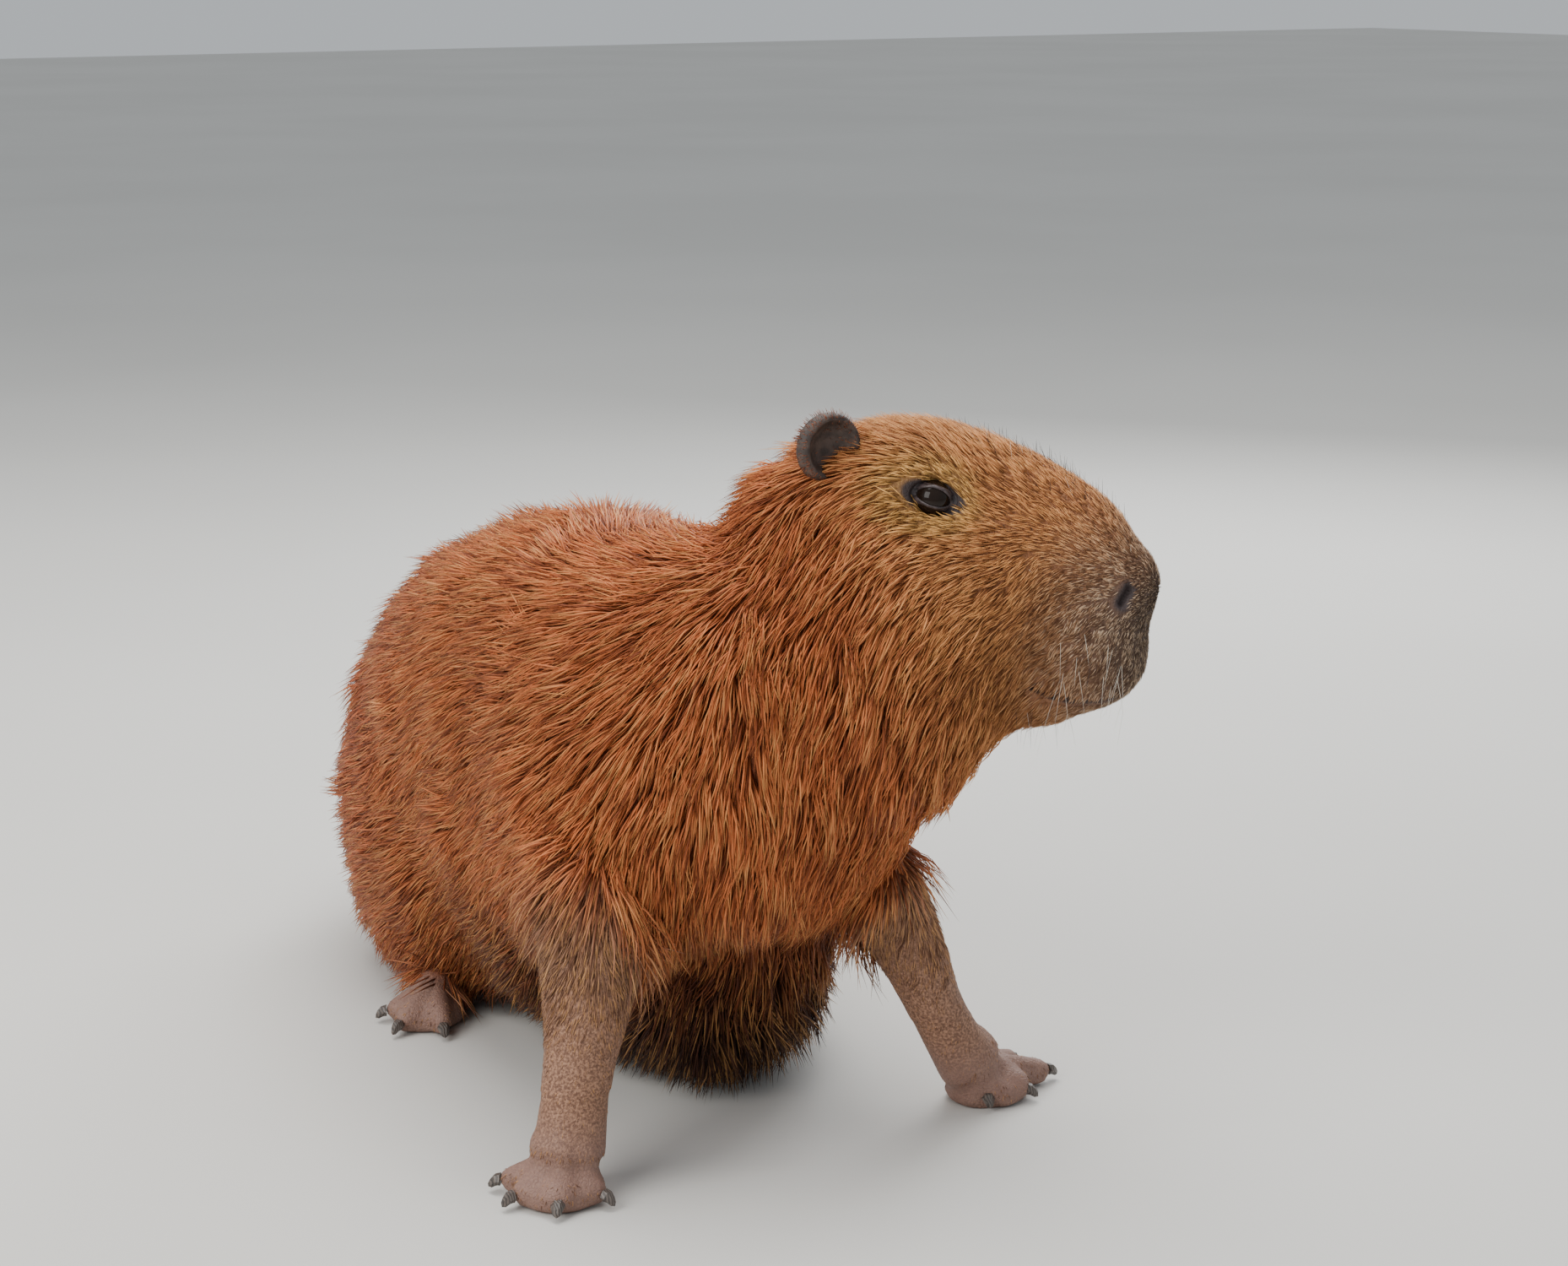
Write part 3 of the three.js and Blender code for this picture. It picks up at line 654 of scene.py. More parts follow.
# %% Lids
def ring_band(name, rows):
    # Joins rows of points round a ring into one closed band
    count, around = len(rows), len(rows[0])
    faces = []
    for i in range(count):
        for j in range(around):
            k, m = (i + 1) % count, (j + 1) % around
            faces.append((i * around + j, i * around + m, k * around + m, k * around + j))
    made = mesh_object(name, np.vstack(rows), np.array(faces))
    shape = bmesh.new()
    shape.from_mesh(made.data)
    bmesh.ops.recalc_face_normals(shape, faces=shape.faces)
    shape.to_mesh(made.data)
    shape.free()
    look_smooth(made.data)
    return made


# For each row of the band, how far it lies outside the opening and how high over the ball or the skin
LID_ROWS = [
    (-0.0012, -0.0030), (-0.0012, -0.0004), (-0.0008, 0.0009), (0.0002, 0.0017), (0.0014, 0.0019),
    (0.0030, 0.0015), (0.0042, 0.0007), (0.0056, 0.0010), (0.0074, 0.0006), (0.0094, -0.0004),
    (0.0110, -0.0026), (0.0060, -0.0050), (0.0010, -0.0055),
]


def lid_pair(side):
    along, high, out = eye_axes(side)
    turn = np.linspace(0, 2 * math.pi, 96, endpoint=False)
    cosine, sine = np.cos(turn), np.sin(turn)
    x = OPENING[0] * cosine
    y = OPENING[1] * np.sign(sine) * np.abs(sine) ** 1.25
    y = y * np.where(sine > 0, 1.0, 0.86)
    stretch = 1 + 1.15 * np.abs(cosine) ** 5
    way = unit(np.stack([cosine / OPENING[0], sine / OPENING[1]], axis=1))
    rows = []
    for offset, height in LID_ROWS:
        px = x + way[:, 0] * offset * stretch
        py = y + way[:, 1] * offset * np.where(sine > 0, 1.0, 0.8)
        ball = np.sqrt(np.maximum((EYE_RADIUS + 0.0004) ** 2 - px * px - py * py, 0))
        start = EYES[side] + np.outer(px, along) - np.outer(py, high) + out * 0.06
        skin_z = []
        for place in start:
            hit = first_skin.ray_cast(Vector(place), Vector(-out), 0.12)[0]
            skin_z.append((np.array(hit) - EYES[side]) @ out if hit else 0.0)
        share = smooth(0.0, 0.0085, offset)
        corner = np.abs(cosine) ** 6
        ball = ball * (1 - corner * 0.25) + np.array(skin_z) * corner * 0.25
        z = (1 - share) * ball + share * np.array(skin_z) + height
        rows.append(EYES[side] + np.outer(px, along) - np.outer(py, high) + np.outer(z, out))
    return ring_band(f"lids_{side}", rows)


lids = {side: lid_pair(side) for side in SIDES}
print("lids made of", len(LID_ROWS), "rows")


# %% [markdown]
# ## Eyeballs
#
# The eye is a dark ball whose front swells a little, where the clear window lies over the iris. It could be
# two shells, a clear one over a painted one, but the iris is nearly black, so that one glossy ball shows the
# same. A sphere of many faces is enough, with its front points moved out.

# %% Eyeballs
def eyeball(side):
    along, high, out = eye_axes(side)
    shape = bmesh.new()
    bmesh.ops.create_uvsphere(shape, u_segments=64, v_segments=40, radius=EYE_RADIUS - 0.0003)
    for vert in shape.verts:
        place = np.array(vert.co)
        swell = smooth(0.45, 1.0, place[2] / EYE_RADIUS) * 0.0009
        place = place * (1 + swell / EYE_RADIUS)
        vert.co = Vector(EYES[side] + along * place[0] + high * place[1] + out * place[2])
    # The right eye's axes mirror the ball, and only up-to-date normals show that its faces point inwards
    shape.normal_update()
    bmesh.ops.recalc_face_normals(shape, faces=shape.faces)
    mesh = bpy.data.meshes.new(f"eyeball_{side}")
    for face in shape.faces:
        face.smooth = True
    shape.to_mesh(mesh)
    shape.free()
    return link(f"eyeball_{side}", mesh)


eyeballs = {side: eyeball(side) for side in SIDES}
print("eyeballs of radius", EYE_RADIUS)


# %% [markdown]
# ## Ears
#
# The ears are small, round cups of dark skin, with few hairs. The solid cup has the right form but flat
# faces. A subdivision surface would round it, but it would pull the thin rim in. So each cup is drawn again
# from a field on a fine grid of its own, which rounds the edges and keeps the size.

# %% Ear cups
EAR_VOXEL = 0.0011
EAR_MARGIN = 0.01


def ear_cup(side):
    name = f"ear_{side}"
    low, high = (np.array(corner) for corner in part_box(name))
    lowest = np.floor((low - EAR_MARGIN) / EAR_VOXEL).astype(int)
    shape = tuple(np.ceil((high + EAR_MARGIN) / EAR_VOXEL).astype(int) - lowest)
    field = to_array(level_grid(*triangles_of([name]), EAR_VOXEL), lowest, shape, EAR_VOXEL)
    points, quads = to_surface(blurred(field, 4), lowest, EAR_VOXEL)
    made = mesh_object(f"cup_{side}", points, quads[:, ::-1] if TURNED else quads)
    look_smooth(made.data)
    return made


cups = {side: ear_cup(side) for side in SIDES}
print("ear cups", [len(cup.data.vertices) for cup in cups.values()])

# %% [markdown]
# ## Where each kind of hair grows
#
# The coat changes softly from place to place: the face, the grizzled muzzle, the yellow ring round the eye,
# the thin-haired legs, and a painted shade that darkens the underside where shade falls under the body.
# These could be painted in a picture, but then a tuft and the skin under it would need the same picture. So
# a few shares, each from 0 to 1, are worked out from a place alone. They're kept at every point of the skin
# and of every tuft, and the materials read them.

# %% Shares
SHARES = ("face", "muzzle", "gold", "leg", "under", "rear", "bare")


def shares_at(points):
    f, l, u = head_places(points)
    x, y, z = points.T
    cut = 0.93 * (f + 0.098) + 0.367 * (u - 0.030)
    face = smooth(-0.030, 0.090, cut) * smooth(0.20, 0.26, z)
    body = sample(body_field, points)
    limb = np.minimum(sample(leg_field, points), sample(foot_field, points))
    leg = smooth(-0.004, 0.022, body - limb) * smooth(0.30, 0.18, z) * (1 - face)
    foot = smooth(-0.004, 0.016, np.minimum(body, sample(leg_field, points)) - sample(foot_field, points))
    nose = np.linalg.norm(points - in_head(0.150, 0, -0.112), axis=1)
    muzzle = smooth(0.120, 0.035, nose) * face
    gold = np.zeros(len(points))
    bare = 0.8 * smooth(0.2, 1.0, foot) * smooth(0.075, 0.02, z)
    for side in SIDES:
        ex, ey, ez = eye_places(points, side)
        ring = np.hypot(ex / 0.030, ey / 0.020)
        gold = np.maximum(gold, smooth(1.75, 1.0, ring) * (ez > -0.02))
        bare = np.maximum(bare, smooth(1.12, 0.88, np.hypot(ex / 0.0250, ey / 0.0122)) * (ez > -0.01))
        bare = np.maximum(bare, smooth(0.0095, 0.004, gap_to(points, nostrils[side])))
        bare = np.maximum(bare, smooth(0.0045, 0.0020, gap_to(points, mouth[side])))
    # Painted shade: the low underside of the trunk is darkened where shade falls under the body
    under = smooth(0.23, 0.07, z) * (1 - leg) * (1 - face) * smooth(0.20, -0.16, y)
    rear = smooth(0.02, 0.38, y) * (1 - leg)
    return dict(zip(SHARES, (face, muzzle, gold, leg, under, rear, bare)))


def write_shares(mesh, shares):
    for word, values in shares.items():
        layer = mesh.attributes.new(word, "FLOAT", "POINT")
        layer.data.foreach_set("value", np.asarray(values, np.float32))


skin_shares = shares_at(read_points(skin.data))
write_shares(skin.data, skin_shares)
print({word: round(float(values.mean()), 3) for word, values in skin_shares.items()})

# %% [markdown]
# ## Markings
#
# The flank is rust red, more brick towards the rump. The face is a golden brown that turns grey on the
# muzzle, with a yellow ring round the eye. The legs are a thin-haired brown mauve. The underside is painted
# nearly black, as painted shade where shade falls under the body. Each part could have a material of its
# own, but then a line would show where two meet. So one row of blends lays one colour over the next, each
# by its own share.

# %% Markings
RUST = (0.66, 0.190, 0.060)
BRICK = (0.61, 0.170, 0.090)
FACE = (0.66, 0.290, 0.105)
MUZZLE = (0.19, 0.128, 0.092)
GOLD = (0.70, 0.45, 0.13)
LEG = (0.42, 0.225, 0.135)
# Painted shade: a nearly black colour laid on the underside where shade falls under the body
PAINTED_SHADE_UNDER = (0.055, 0.014, 0.004)
PALE = (0.78, 0.62, 0.46)
GOLDEN_TIP = (0.90, 0.47, 0.16)
DARK_RIM = (0.050, 0.034, 0.034)
SOLE = (0.29, 0.175, 0.140)


def markings(shade):
    colour = shade.blend(RUST, BRICK, shade.read("rear"))
    colour = shade.blend(colour, FACE, shade.read("face"))
    colour = shade.blend(colour, GOLD, shade.read("gold") * 0.6)
    colour = shade.blend(colour, MUZZLE, shade.read("muzzle"))
    colour = shade.blend(colour, LEG, shade.read("leg"))
    # Lays the painted shade over the underside
    return shade.blend(colour, PAINTED_SHADE_UNDER, shade.read("under"))


print("colours of the markings are set")

# %% [markdown]
# ## Hair
#
# One hair is dark at its root and lighter towards its tip, and many have a golden tip. No two are quite
# alike: some are nearly black, and on the muzzle some are pale. So the material reads how far along its tuft
# a point lies, and a tint that each tuft draws once. A fine streak breaks the gloss, as on bristly hair.

# %% Coat material
ROOT_TONE = (0.30, 0.24, 0.22)


def coat_material():
    shade = Shade("coat")
    tint = shade.read("tint")
    along = shade.read("along")
    broad = shade.ramp(shade.noise(9.0), 0.35, 0.68)
    colour = markings(shade)
    golden = shade.ramp(along, 0.25, 0.9) * shade.ramp(tint, 0.50, 0.85) * 0.62
    colour = shade.blend(colour, GOLDEN_TIP, golden)
    dark = shade.blend(colour, ROOT_TONE, 1.0, "MULTIPLY")
    rooted = shade.ramp(along, 0.70, 0.0) * 0.80
    colour = shade.blend(colour, dark, rooted)
    colour = shade.blend(colour, dark, shade.ramp(tint, 0.42, 0.10) * 0.92)
    pale = shade.ramp(tint, 0.58, 0.75) * shade.read("muzzle") * 0.7
    colour = shade.blend(colour, PALE, pale)
    colour = shade.blend(colour, dark, broad * 0.22)
    streak = shade.noise(420.0, 2.0)
    return shade.finish(
        Base_Color=colour,
        Roughness=0.50 + 0.2 * streak,
        Specular_IOR_Level=0.28,
        Normal=shade.bump(streak, 0.0006, 0.4),
    )


coat = coat_material()
print("coat material has", len(coat.node_tree.nodes), "nodes")

# %% [markdown]
# ## Skin
#
# Where the coat is thin, on the legs and the muzzle, the skin shows between the hairs, so it carries the
# same markings, darker and speckled. Where it is bare, on soles, nostrils, lips and round the eyes, it is
# dark and creased. The creases could be modelled, but they are finer than the mesh, so a bump draws them.

# %% Skin material
SHADED_SKIN = (0.34, 0.28, 0.26)
WORN_HIDE = (0.62, 0.55, 0.55)


def skin_material():
    shade = Shade("skin")
    bare = shade.read("bare")
    leg = shade.read("leg")
    colour = markings(shade)
    speckle = shade.ramp(shade.noise(520.0, 4.0), 0.35, 0.7)
    dark = shade.blend(colour, SHADED_SKIN, 1.0, "MULTIPLY")
    colour = shade.blend(dark, colour, speckle * (0.25 + 0.6 * leg))
    hide = shade.blend(DARK_RIM, SOLE, leg)
    hide = shade.blend(hide, shade.blend(hide, WORN_HIDE, 1.0, "MULTIPLY"), shade.noise(90.0))
    colour = shade.blend(colour, hide, bare)
    creases = shade.node("TexVoronoi", {"feature": "DISTANCE_TO_EDGE"}, Vector=shade.place(), Scale=330.0)
    creases = shade.ramp(creases, 0.0, 0.18)
    height = shade.noise(260.0, 5.0) * 0.6 + creases * 0.5
    return shade.finish(Base_Color=colour, Roughness=0.62, Normal=shade.bump(height, 0.0011, 0.6))


hide = skin_material()
skin.data.materials.append(hide)
print("skin material has", len(hide.node_tree.nodes), "nodes")

# %% [markdown]
# ## Lids, eyes, ears and claws
#
# The lids are dark and a little moist, so they shine more than the hide. The eye is nearly black, and its
# only light is a small, sharp gleam, so its gloss is kept low and its roughness lower. The ears are dull and
# veined. A claw is dark horn with a grain. The claws are the solids themselves: their shape is right, so
# they only get this material in their slots.

# %% Small materials
def lid_material():
    shade = Shade("lid")
    worn = shade.noise(300.0, 4.0)
    colour = shade.blend((0.028, 0.020, 0.021), (0.085, 0.062, 0.064), shade.ramp(worn, 0.35, 0.7))
    return shade.finish(Base_Color=colour, Roughness=0.42, Normal=shade.bump(worn, 0.0008, 0.6))


def eye_material():
    shade = Shade("eye")
    depth = shade.noise(60.0)
    colour = shade.blend((0.006, 0.004, 0.003), (0.020, 0.011, 0.007), depth)
    return shade.finish(
        Base_Color=colour,
        Roughness=0.10,
        Specular_IOR_Level=0.14,
        Coat_Weight=0.14,
        Coat_Roughness=0.03,
    )


def ear_material():
    shade = Shade("ear")
    vein = shade.ramp(shade.noise(120.0, 5.0), 0.35, 0.7)
    colour = shade.blend((0.034, 0.022, 0.018), (0.095, 0.062, 0.048), vein)
    pores = shade.bump(shade.noise(500.0, 4.0), 0.0006, 0.7)
    return shade.finish(Base_Color=colour, Roughness=0.58, Normal=pores)


def claw_material():
    shade = Shade("claw")
    grain = shade.node("TexWave", Vector=shade.place(), Scale=160.0, Distortion=6.0, Detail=3.0)
    colour = shade.blend((0.040, 0.032, 0.028), (0.13, 0.105, 0.09), grain)
    return shade.finish(Base_Color=colour, Roughness=0.38, Normal=shade.bump(grain, 0.0004, 0.5))


lid_hide, ball_gloss, ear_hide, horn = lid_material(), eye_material(), ear_material(), claw_material()
for side in SIDES:
    lids[side].data.materials.append(lid_hide)
    eyeballs[side].data.materials.append(ball_gloss)
    cups[side].data.materials.append(ear_hide)
claws = [node for name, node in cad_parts.items() if name.startswith("claw")]
for claw in claws:
    for place in claw.material_slots:
        place.material = horn
print("small materials made, one of them for", len(claws), "claws")

# %% [markdown]
# ## Laying the skin out flat
#
# A layout, or UV map, says which place of a flat square each face takes. Every tuft could get a place of its
# own, but a hundred thousand of them would leave each less than a dot. So a tuft takes a small patch of the
# skin's layout, at its root, and hairs that grow side by side lie side by side there too.

# %% Layout of the skin
bpy.ops.object.select_all(action="DESELECT")
bpy.context.view_layer.objects.active = skin
skin.select_set(True)
bpy.ops.object.mode_set(mode="EDIT")
bpy.ops.mesh.select_all(action="SELECT")
bpy.ops.uv.smart_project(angle_limit=math.radians(66), island_margin=0.002)
bpy.ops.object.mode_set(mode="OBJECT")
skin.data.uv_layers[0].name = "OFBake"
skin.data.calc_loop_triangles()
count = len(skin.data.loop_triangles)
tri_points = np.zeros(count * 3, np.int32)
tri_loops = np.zeros(count * 3, np.int32)
skin.data.loop_triangles.foreach_get("vertices", tri_points)
skin.data.loop_triangles.foreach_get("loops", tri_loops)
tri_points = tri_points.reshape(-1, 3)
tri_loops = tri_loops.reshape(-1, 3)
flat = np.zeros(len(skin.data.loops) * 2, np.float32)
skin.data.uv_layers[0].data.foreach_get("uv", flat)
flat = flat.reshape(-1, 2)
skin_places = read_points(skin.data)
skin_normals = read_normals(skin.data)
sides = skin_places[tri_points]
tri_area = np.linalg.norm(np.cross(sides[:, 1] - sides[:, 0], sides[:, 2] - sides[:, 0]), axis=1) / 2
print("skin", count, "triangles,", round(float(tri_area.sum()), 3), "square metres")

# %% [markdown]
# ## The coat
#
# The real coat is long, coarse and sparse, and falls in locks. Blender's own hair curves could draw it, but
# they have no mesh to hand over. So a tuft is a thin solid blade with a section of three corners, which
# bends once and tapers to its tip, with its root sunk in the skin. Which way it lies comes from the animal:
# back from the nose over the head, back and down over the body, straight down on chest and legs.

# %% Lie of the coat
def lattice(points, size, seed, blend=True):
    # Random arrows on a lattice: smoothly mixed between its corners, or one arrow for each cell
    table = np.random.default_rng(seed).normal(size=(29, 31, 37, 3))
    q = points / size
    i = np.floor(q).astype(int)
    t = (q - i) ** 2 * (3 - 2 * (q - i))
    if not blend:
        return table[i[:, 0] % 29, i[:, 1] % 31, i[:, 2] % 37]
    total = 0
    for corner in np.ndindex(2, 2, 2):
        share = np.prod(np.where(corner, t, 1 - t), axis=1)
        j = i + corner
        total = total + share[:, None] * table[j[:, 0] % 29, j[:, 1] % 31, j[:, 2] % 37]
    return total


def lie_at(points, shares):
    # The way that hair lies at each place, before it is laid along the skin
    f, l, u = head_places(points)
    chest = smooth(-0.04, 0.17, points[:, 1] - MATCHED_ORIGIN[1])
    trunk = np.stack([0.24 * chest, 0.15 + 0.7 * chest, -1 + 0.35 * chest], axis=1)
    face = unit(points - in_head(0.178, 0, -0.100))
    fall = smooth(0.00, -0.10, u)[:, None] * 0.75
    face = unit(face - UP * fall - HEAD_FORWARD * 0.15)
    leg = np.array([[0.0, 0.25, -1.0]])
    way = shares["face"][:, None] * face + (1 - shares["face"][:, None]) * unit(trunk)
    return unit(way * (1 - shares["leg"][:, None]) + leg * shares["leg"][:, None])


body_only = {"face": np.zeros(1), "leg": np.zeros(1)}
print("hair in the middle of the trunk lies", lie_at(middle("torso")[None], body_only).round(2))

# %% [markdown]
# ## Roots
#
# Roots could be put on every point of the mesh, but then its grid would show as rows. So they are drawn by
# chance: first a triangle, with odds by its area and by how thick the coat is there, then a place in it.
# The chance is seeded, so that each run grows the same coat.

# %% Roots
tri_middles = skin_places[tri_points].mean(axis=1)
tri_normals = skin_normals[tri_points].mean(axis=1)
tri_shares = {word: values[tri_points].mean(axis=1) for word, values in skin_shares.items()}


def grow(count, density, seed):
    rng = np.random.default_rng(seed)
    weight = tri_area * density(tri_middles, tri_shares, tri_normals)
    chosen = rng.choice(len(weight), size=count, p=weight / weight.sum())
    a, b = np.sort(rng.random((2, count)), axis=0)
    mix = np.stack([a, b - a, 1 - b], axis=1)[:, :, None]
    roots = (skin_places[tri_points[chosen]] * mix).sum(axis=1)
    normals = unit((skin_normals[tri_points[chosen]] * mix).sum(axis=1))
    layout = (flat[tri_loops[chosen]] * mix).sum(axis=1)
    corners = tri_points[chosen]
    shares = {word: (values[corners] * mix[:, :, 0]).sum(axis=1) for word, values in skin_shares.items()}
    return roots, normals, layout, shares, rng


print("roots are drawn from", len(tri_area), "triangles")

# %% [markdown]
# ## Blades
#
# Thousands of blades as objects of their own would take minutes, and a bmesh of them nearly as long. All of
# one piece are therefore one mesh, filled from arrays. Every blade has the same faces, which are listed once
# and then shifted for the next blade: a small triangle of points at each row, closed at the root, and one
# point at the tip.

# %% Blades
PATCH = 0.003


def blades(name, rows, halves, normals, sides, extra, layout, material):
    count, steps = rows.shape[0], rows.shape[1]
    corners = []
    for step in range(steps - 1):
        centre, half = rows[:, step], halves[:, step, None]
        corners += [centre - sides * half, centre + sides * half, centre + normals * half * 0.9]
    corners.append(rows[:, -1])
    points = np.stack(corners, axis=1)
    size = points.shape[1]
    faces = [(0, 1, 2)]
    for step in range(steps - 2):
        low, high = 3 * step, 3 * step + 3
        for i in range(3):
            j = (i + 1) % 3
            faces += [(low + i, high + i, high + j), (low + i, high + j, low + j)]
    last = 3 * (steps - 2)
    faces += [(last + i, size - 1, last + (i + 1) % 3) for i in range(3)]
    faces = np.array(faces)
    every = (faces[None] + np.arange(count)[:, None, None] * size).reshape(-1, 3)
    mesh = bpy.data.meshes.new(name)
    mesh.vertices.add(count * size)
    mesh.vertices.foreach_set("co", points.astype(np.float32).ravel())
    mesh.loops.add(every.size)
    mesh.loops.foreach_set("vertex_index", every.astype(np.int32).ravel())
    mesh.polygons.add(len(every))
    mesh.polygons.foreach_set("loop_start", np.arange(0, every.size, 3, dtype=np.int32))
    mesh.polygons.foreach_set("use_smooth", np.ones(len(every), bool))
    mesh.update(calc_edges=True)
    along = np.repeat(np.linspace(0, 1, steps), [3] * (steps - 1) + [1])
    write_shares(mesh, {word: np.repeat(values, size) for word, values in extra.items()})
    write_shares(mesh, {"along": np.tile(along, count)})
    across = np.tile(np.array([0.0, 1.0, 0.5] * (steps - 1) + [0.5]), count)
    patch = np.stack([across - 0.5, np.tile(along, count) - 0.5], axis=1) * PATCH
    spots = np.repeat(layout, size, axis=0) + patch
    uv = mesh.uv_layers.new(name="OFBake")
    uv.data.foreach_set("uv", spots[every.ravel()].astype(np.float32).ravel())
    mesh.materials.append(material)
    made = link(name, mesh)
    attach(made, "root")
    return made


print("each tuft takes a patch", PATCH, "across on the layout")

# %% [markdown]
# ## Tufts
#
# Each tuft leans as the coat lies, a little its own way, and more as its neighbours do. Space is divided
# into uneven cells, and all roots in one cell share a lean and are drawn to its middle. That makes the
# locks, which chance alone wouldn't give. A tuft rises at its root and settles towards its tip.

# %% Tufts
ROOT_DEPTH = 0.0012
LOWEST_HAIR = 0.0012


def tufts(name, count, density, shape, seed):
    roots, normals, layout, shares, rng = grow(count, density, seed)
    length, width, lift, settle, clump, hold = shape(roots, shares, rng)
    jitter = lattice(roots, clump * 2.5, 11) * clump * 0.35
    cell = np.floor((roots + jitter) / clump)
    centre = (cell + 0.5) * clump - jitter
    lean = lattice(roots + jitter, clump, 23, blend=False)
    broad = lattice(roots, 0.045, 31)
    way = lie_at(roots, shares) + 0.13 * lean + 0.16 * broad + rng.normal(size=roots.shape) * 0.09
    way = unit(way - normals * (way * normals).sum(axis=1, keepdims=True))
    # In this order, so that the faces of a blade point out of it
    side = np.cross(way, normals)
    pull = centre - roots
    pull = pull - normals * (pull * normals).sum(axis=1, keepdims=True)
    half = length[:, None] / 2
    first = unit(way * np.cos(lift)[:, None] + normals * np.sin(lift)[:, None])
    second = unit(way * np.cos(settle)[:, None] + normals * np.sin(settle)[:, None])
    base = roots - normals * ROOT_DEPTH
    bent = base + first * half + pull * hold * 0.5
    tip = bent + second * half + pull * hold * 0.5
    tip[:, 2] = np.maximum(tip[:, 2], LOWEST_HAIR)
    bent[:, 2] = np.maximum(bent[:, 2], LOWEST_HAIR)
    rows = np.stack([base, bent, tip], axis=1)
    halves = np.stack([width / 2, width * 0.40], axis=1)
    tint = np.clip(rng.beta(1.3, 1.3, count) + 0.10 * lean[:, 0], 0, 1)
    extra = {**shares, "tint": tint}
    piece = blades(name, rows, halves, normals, side, extra, layout, coat)
    return piece


# %% [markdown]
# ## Coat of the body
#
# The longest hair: about five centimetres, more on the low front, less where it meets the face. One mesh of
# it all would be too big to pass on as one file, so it is five pieces over the same skin. Where the belly
# rests on the ground no hair could be seen, and hardly any grows.

# %% Body coat
# Added to every density, so that the odds of no triangle are quite nil
SPARSE = 1e-9
BODY_PIECES, BODY_TUFTS = 5, 17000


def body_density(p, shares, normal):
    hidden = (normal[:, 2] < -0.80) & (p[:, 2] < 0.035)
    clear = (1 - shares["face"]) * (1 - shares["leg"]) * (1 - shares["bare"])
    return clear * np.where(hidden, 0.03, 1) + SPARSE


def body_shape(p, shares, rng):
    front = smooth(-0.05, -0.25, p[:, 1])
    low = smooth(0.30, 0.12, p[:, 2])
    collar = smooth(0.0, 0.6, shares["face"])
    length = (0.047 + 0.012 * front * low) * (1 - 0.35 * collar) * rng.uniform(0.75, 1.2, len(p))
    width = rng.uniform(0.0012, 0.0022, len(p))
    lift = 0.40 + 0.08 * rng.normal(size=len(p))
    settle = 0.22 + 0.10 * rng.normal(size=len(p)) - 0.1 * front
    return length, width, lift, settle, 0.017, 0.30


for number in range(BODY_PIECES):
    name = f"body_coat_{number + 1}"
    tufts(name, BODY_TUFTS, body_density, body_shape, 100 + number)
print("body coat", BODY_PIECES, "pieces of", BODY_TUFTS, "tufts")


# %% [markdown]
# ## Coat of the head
#
# On the face the hair is short and close, about a centimetre, shorter still on the muzzle and round the
# eye, and it grows longer towards the neck. Long hair would hide the form of the head, so here many fine
# tufts are used. They keep clear of the lids and the nostrils.

# %% Head coat
HEAD_PIECES, HEAD_TUFTS = 3, 16500


def head_density(p, shares, normal):
    clear = (1 - shares["bare"]) ** 3
    return shares["face"] ** 0.8 * clear * (1 + 2.2 * shares["muzzle"]) * (1 - shares["leg"]) + SPARSE


def head_shape(p, shares, rng):
    f, l, u = head_places(p)
    back = smooth(0.12, -0.06, f)
    short = smooth(0.0, 1.0, shares["muzzle"])
    ring = shares["gold"]
    trim = (1 - 0.45 * short) * (1 - 0.45 * ring)
    length = (0.011 + 0.016 * back) * trim * rng.uniform(0.75, 1.25, len(p))
    width = (0.0008 + 0.0005 * back) * (1 - 0.15 * short) * rng.uniform(0.75, 1.25, len(p))
    crown = smooth(0.0, 0.04, u) * 0.12
    lift = 0.34 + crown + 0.14 * short + 0.08 * rng.normal(size=len(p))
    settle = 0.20 + crown + 0.10 * rng.normal(size=len(p))
    return length, width, lift, settle, 0.009, 0.22


for number in range(HEAD_PIECES):
    name = f"head_coat_{number + 1}"
    tufts(name, HEAD_TUFTS, head_density, head_shape, 200 + number)
print("head coat", HEAD_PIECES, "pieces of", HEAD_TUFTS, "tufts")


# %% [markdown]
# ## Coat of the legs
#
# The legs are thinly haired, and the skin shows through. The hair gets shorter down to the foot, from more
# than two centimetres to half of one, and it lies close, so the slim shape of the leg stays.

# %% Leg coat
LEG_TUFTS = 14000


def leg_density(p, shares, normal):
    return shares["leg"] * (1 - 0.85 * shares["bare"]) * (p[:, 2] > 0.010) + SPARSE


def leg_shape(p, shares, rng):
    high = smooth(0.08, 0.24, p[:, 2])
    length = (0.0060 + 0.017 * high) * rng.uniform(0.75, 1.25, len(p))
    width = (0.0010 + 0.0008 * high) * rng.uniform(0.75, 1.25, len(p))
    lift = 0.20 + 0.05 * rng.normal(size=len(p))
    settle = 0.10 + 0.06 * rng.normal(size=len(p))
    return length, width, lift, settle, 0.010, 0.12


tufts("leg_coat", LEG_TUFTS, leg_density, leg_shape, 300)
print("leg coat", LEG_TUFTS, "tufts")

# %% [markdown]
# ## Whiskers and bristles
#
# Whiskers stand on the upper lip, the chin and over the eye, and short dark bristles on the bridge of the
# nose. They could be thicker tufts of the coat, but they are longer, stiffer and rounder, and they droop in
# a curve. So each is a blade of eight rows, whose root is found on the skin in the same way as the mouth.

# %% Whiskers
WHISKER_ROWS = 8
# The whiskers before the nose end here, as it is the front end of the whole animal
FRONT_END = cad_box[0][1] - 0.010


def whisker_material():
    shade = Shade("whisker")
    share = shade.ramp(shade.read("tint"), 0.4, 0.6)
    colour = shade.blend((0.035, 0.025, 0.02), (0.72, 0.66, 0.56), share)
    return shade.finish(Base_Color=colour, Roughness=0.35 + 0.1 * shade.noise(200.0))


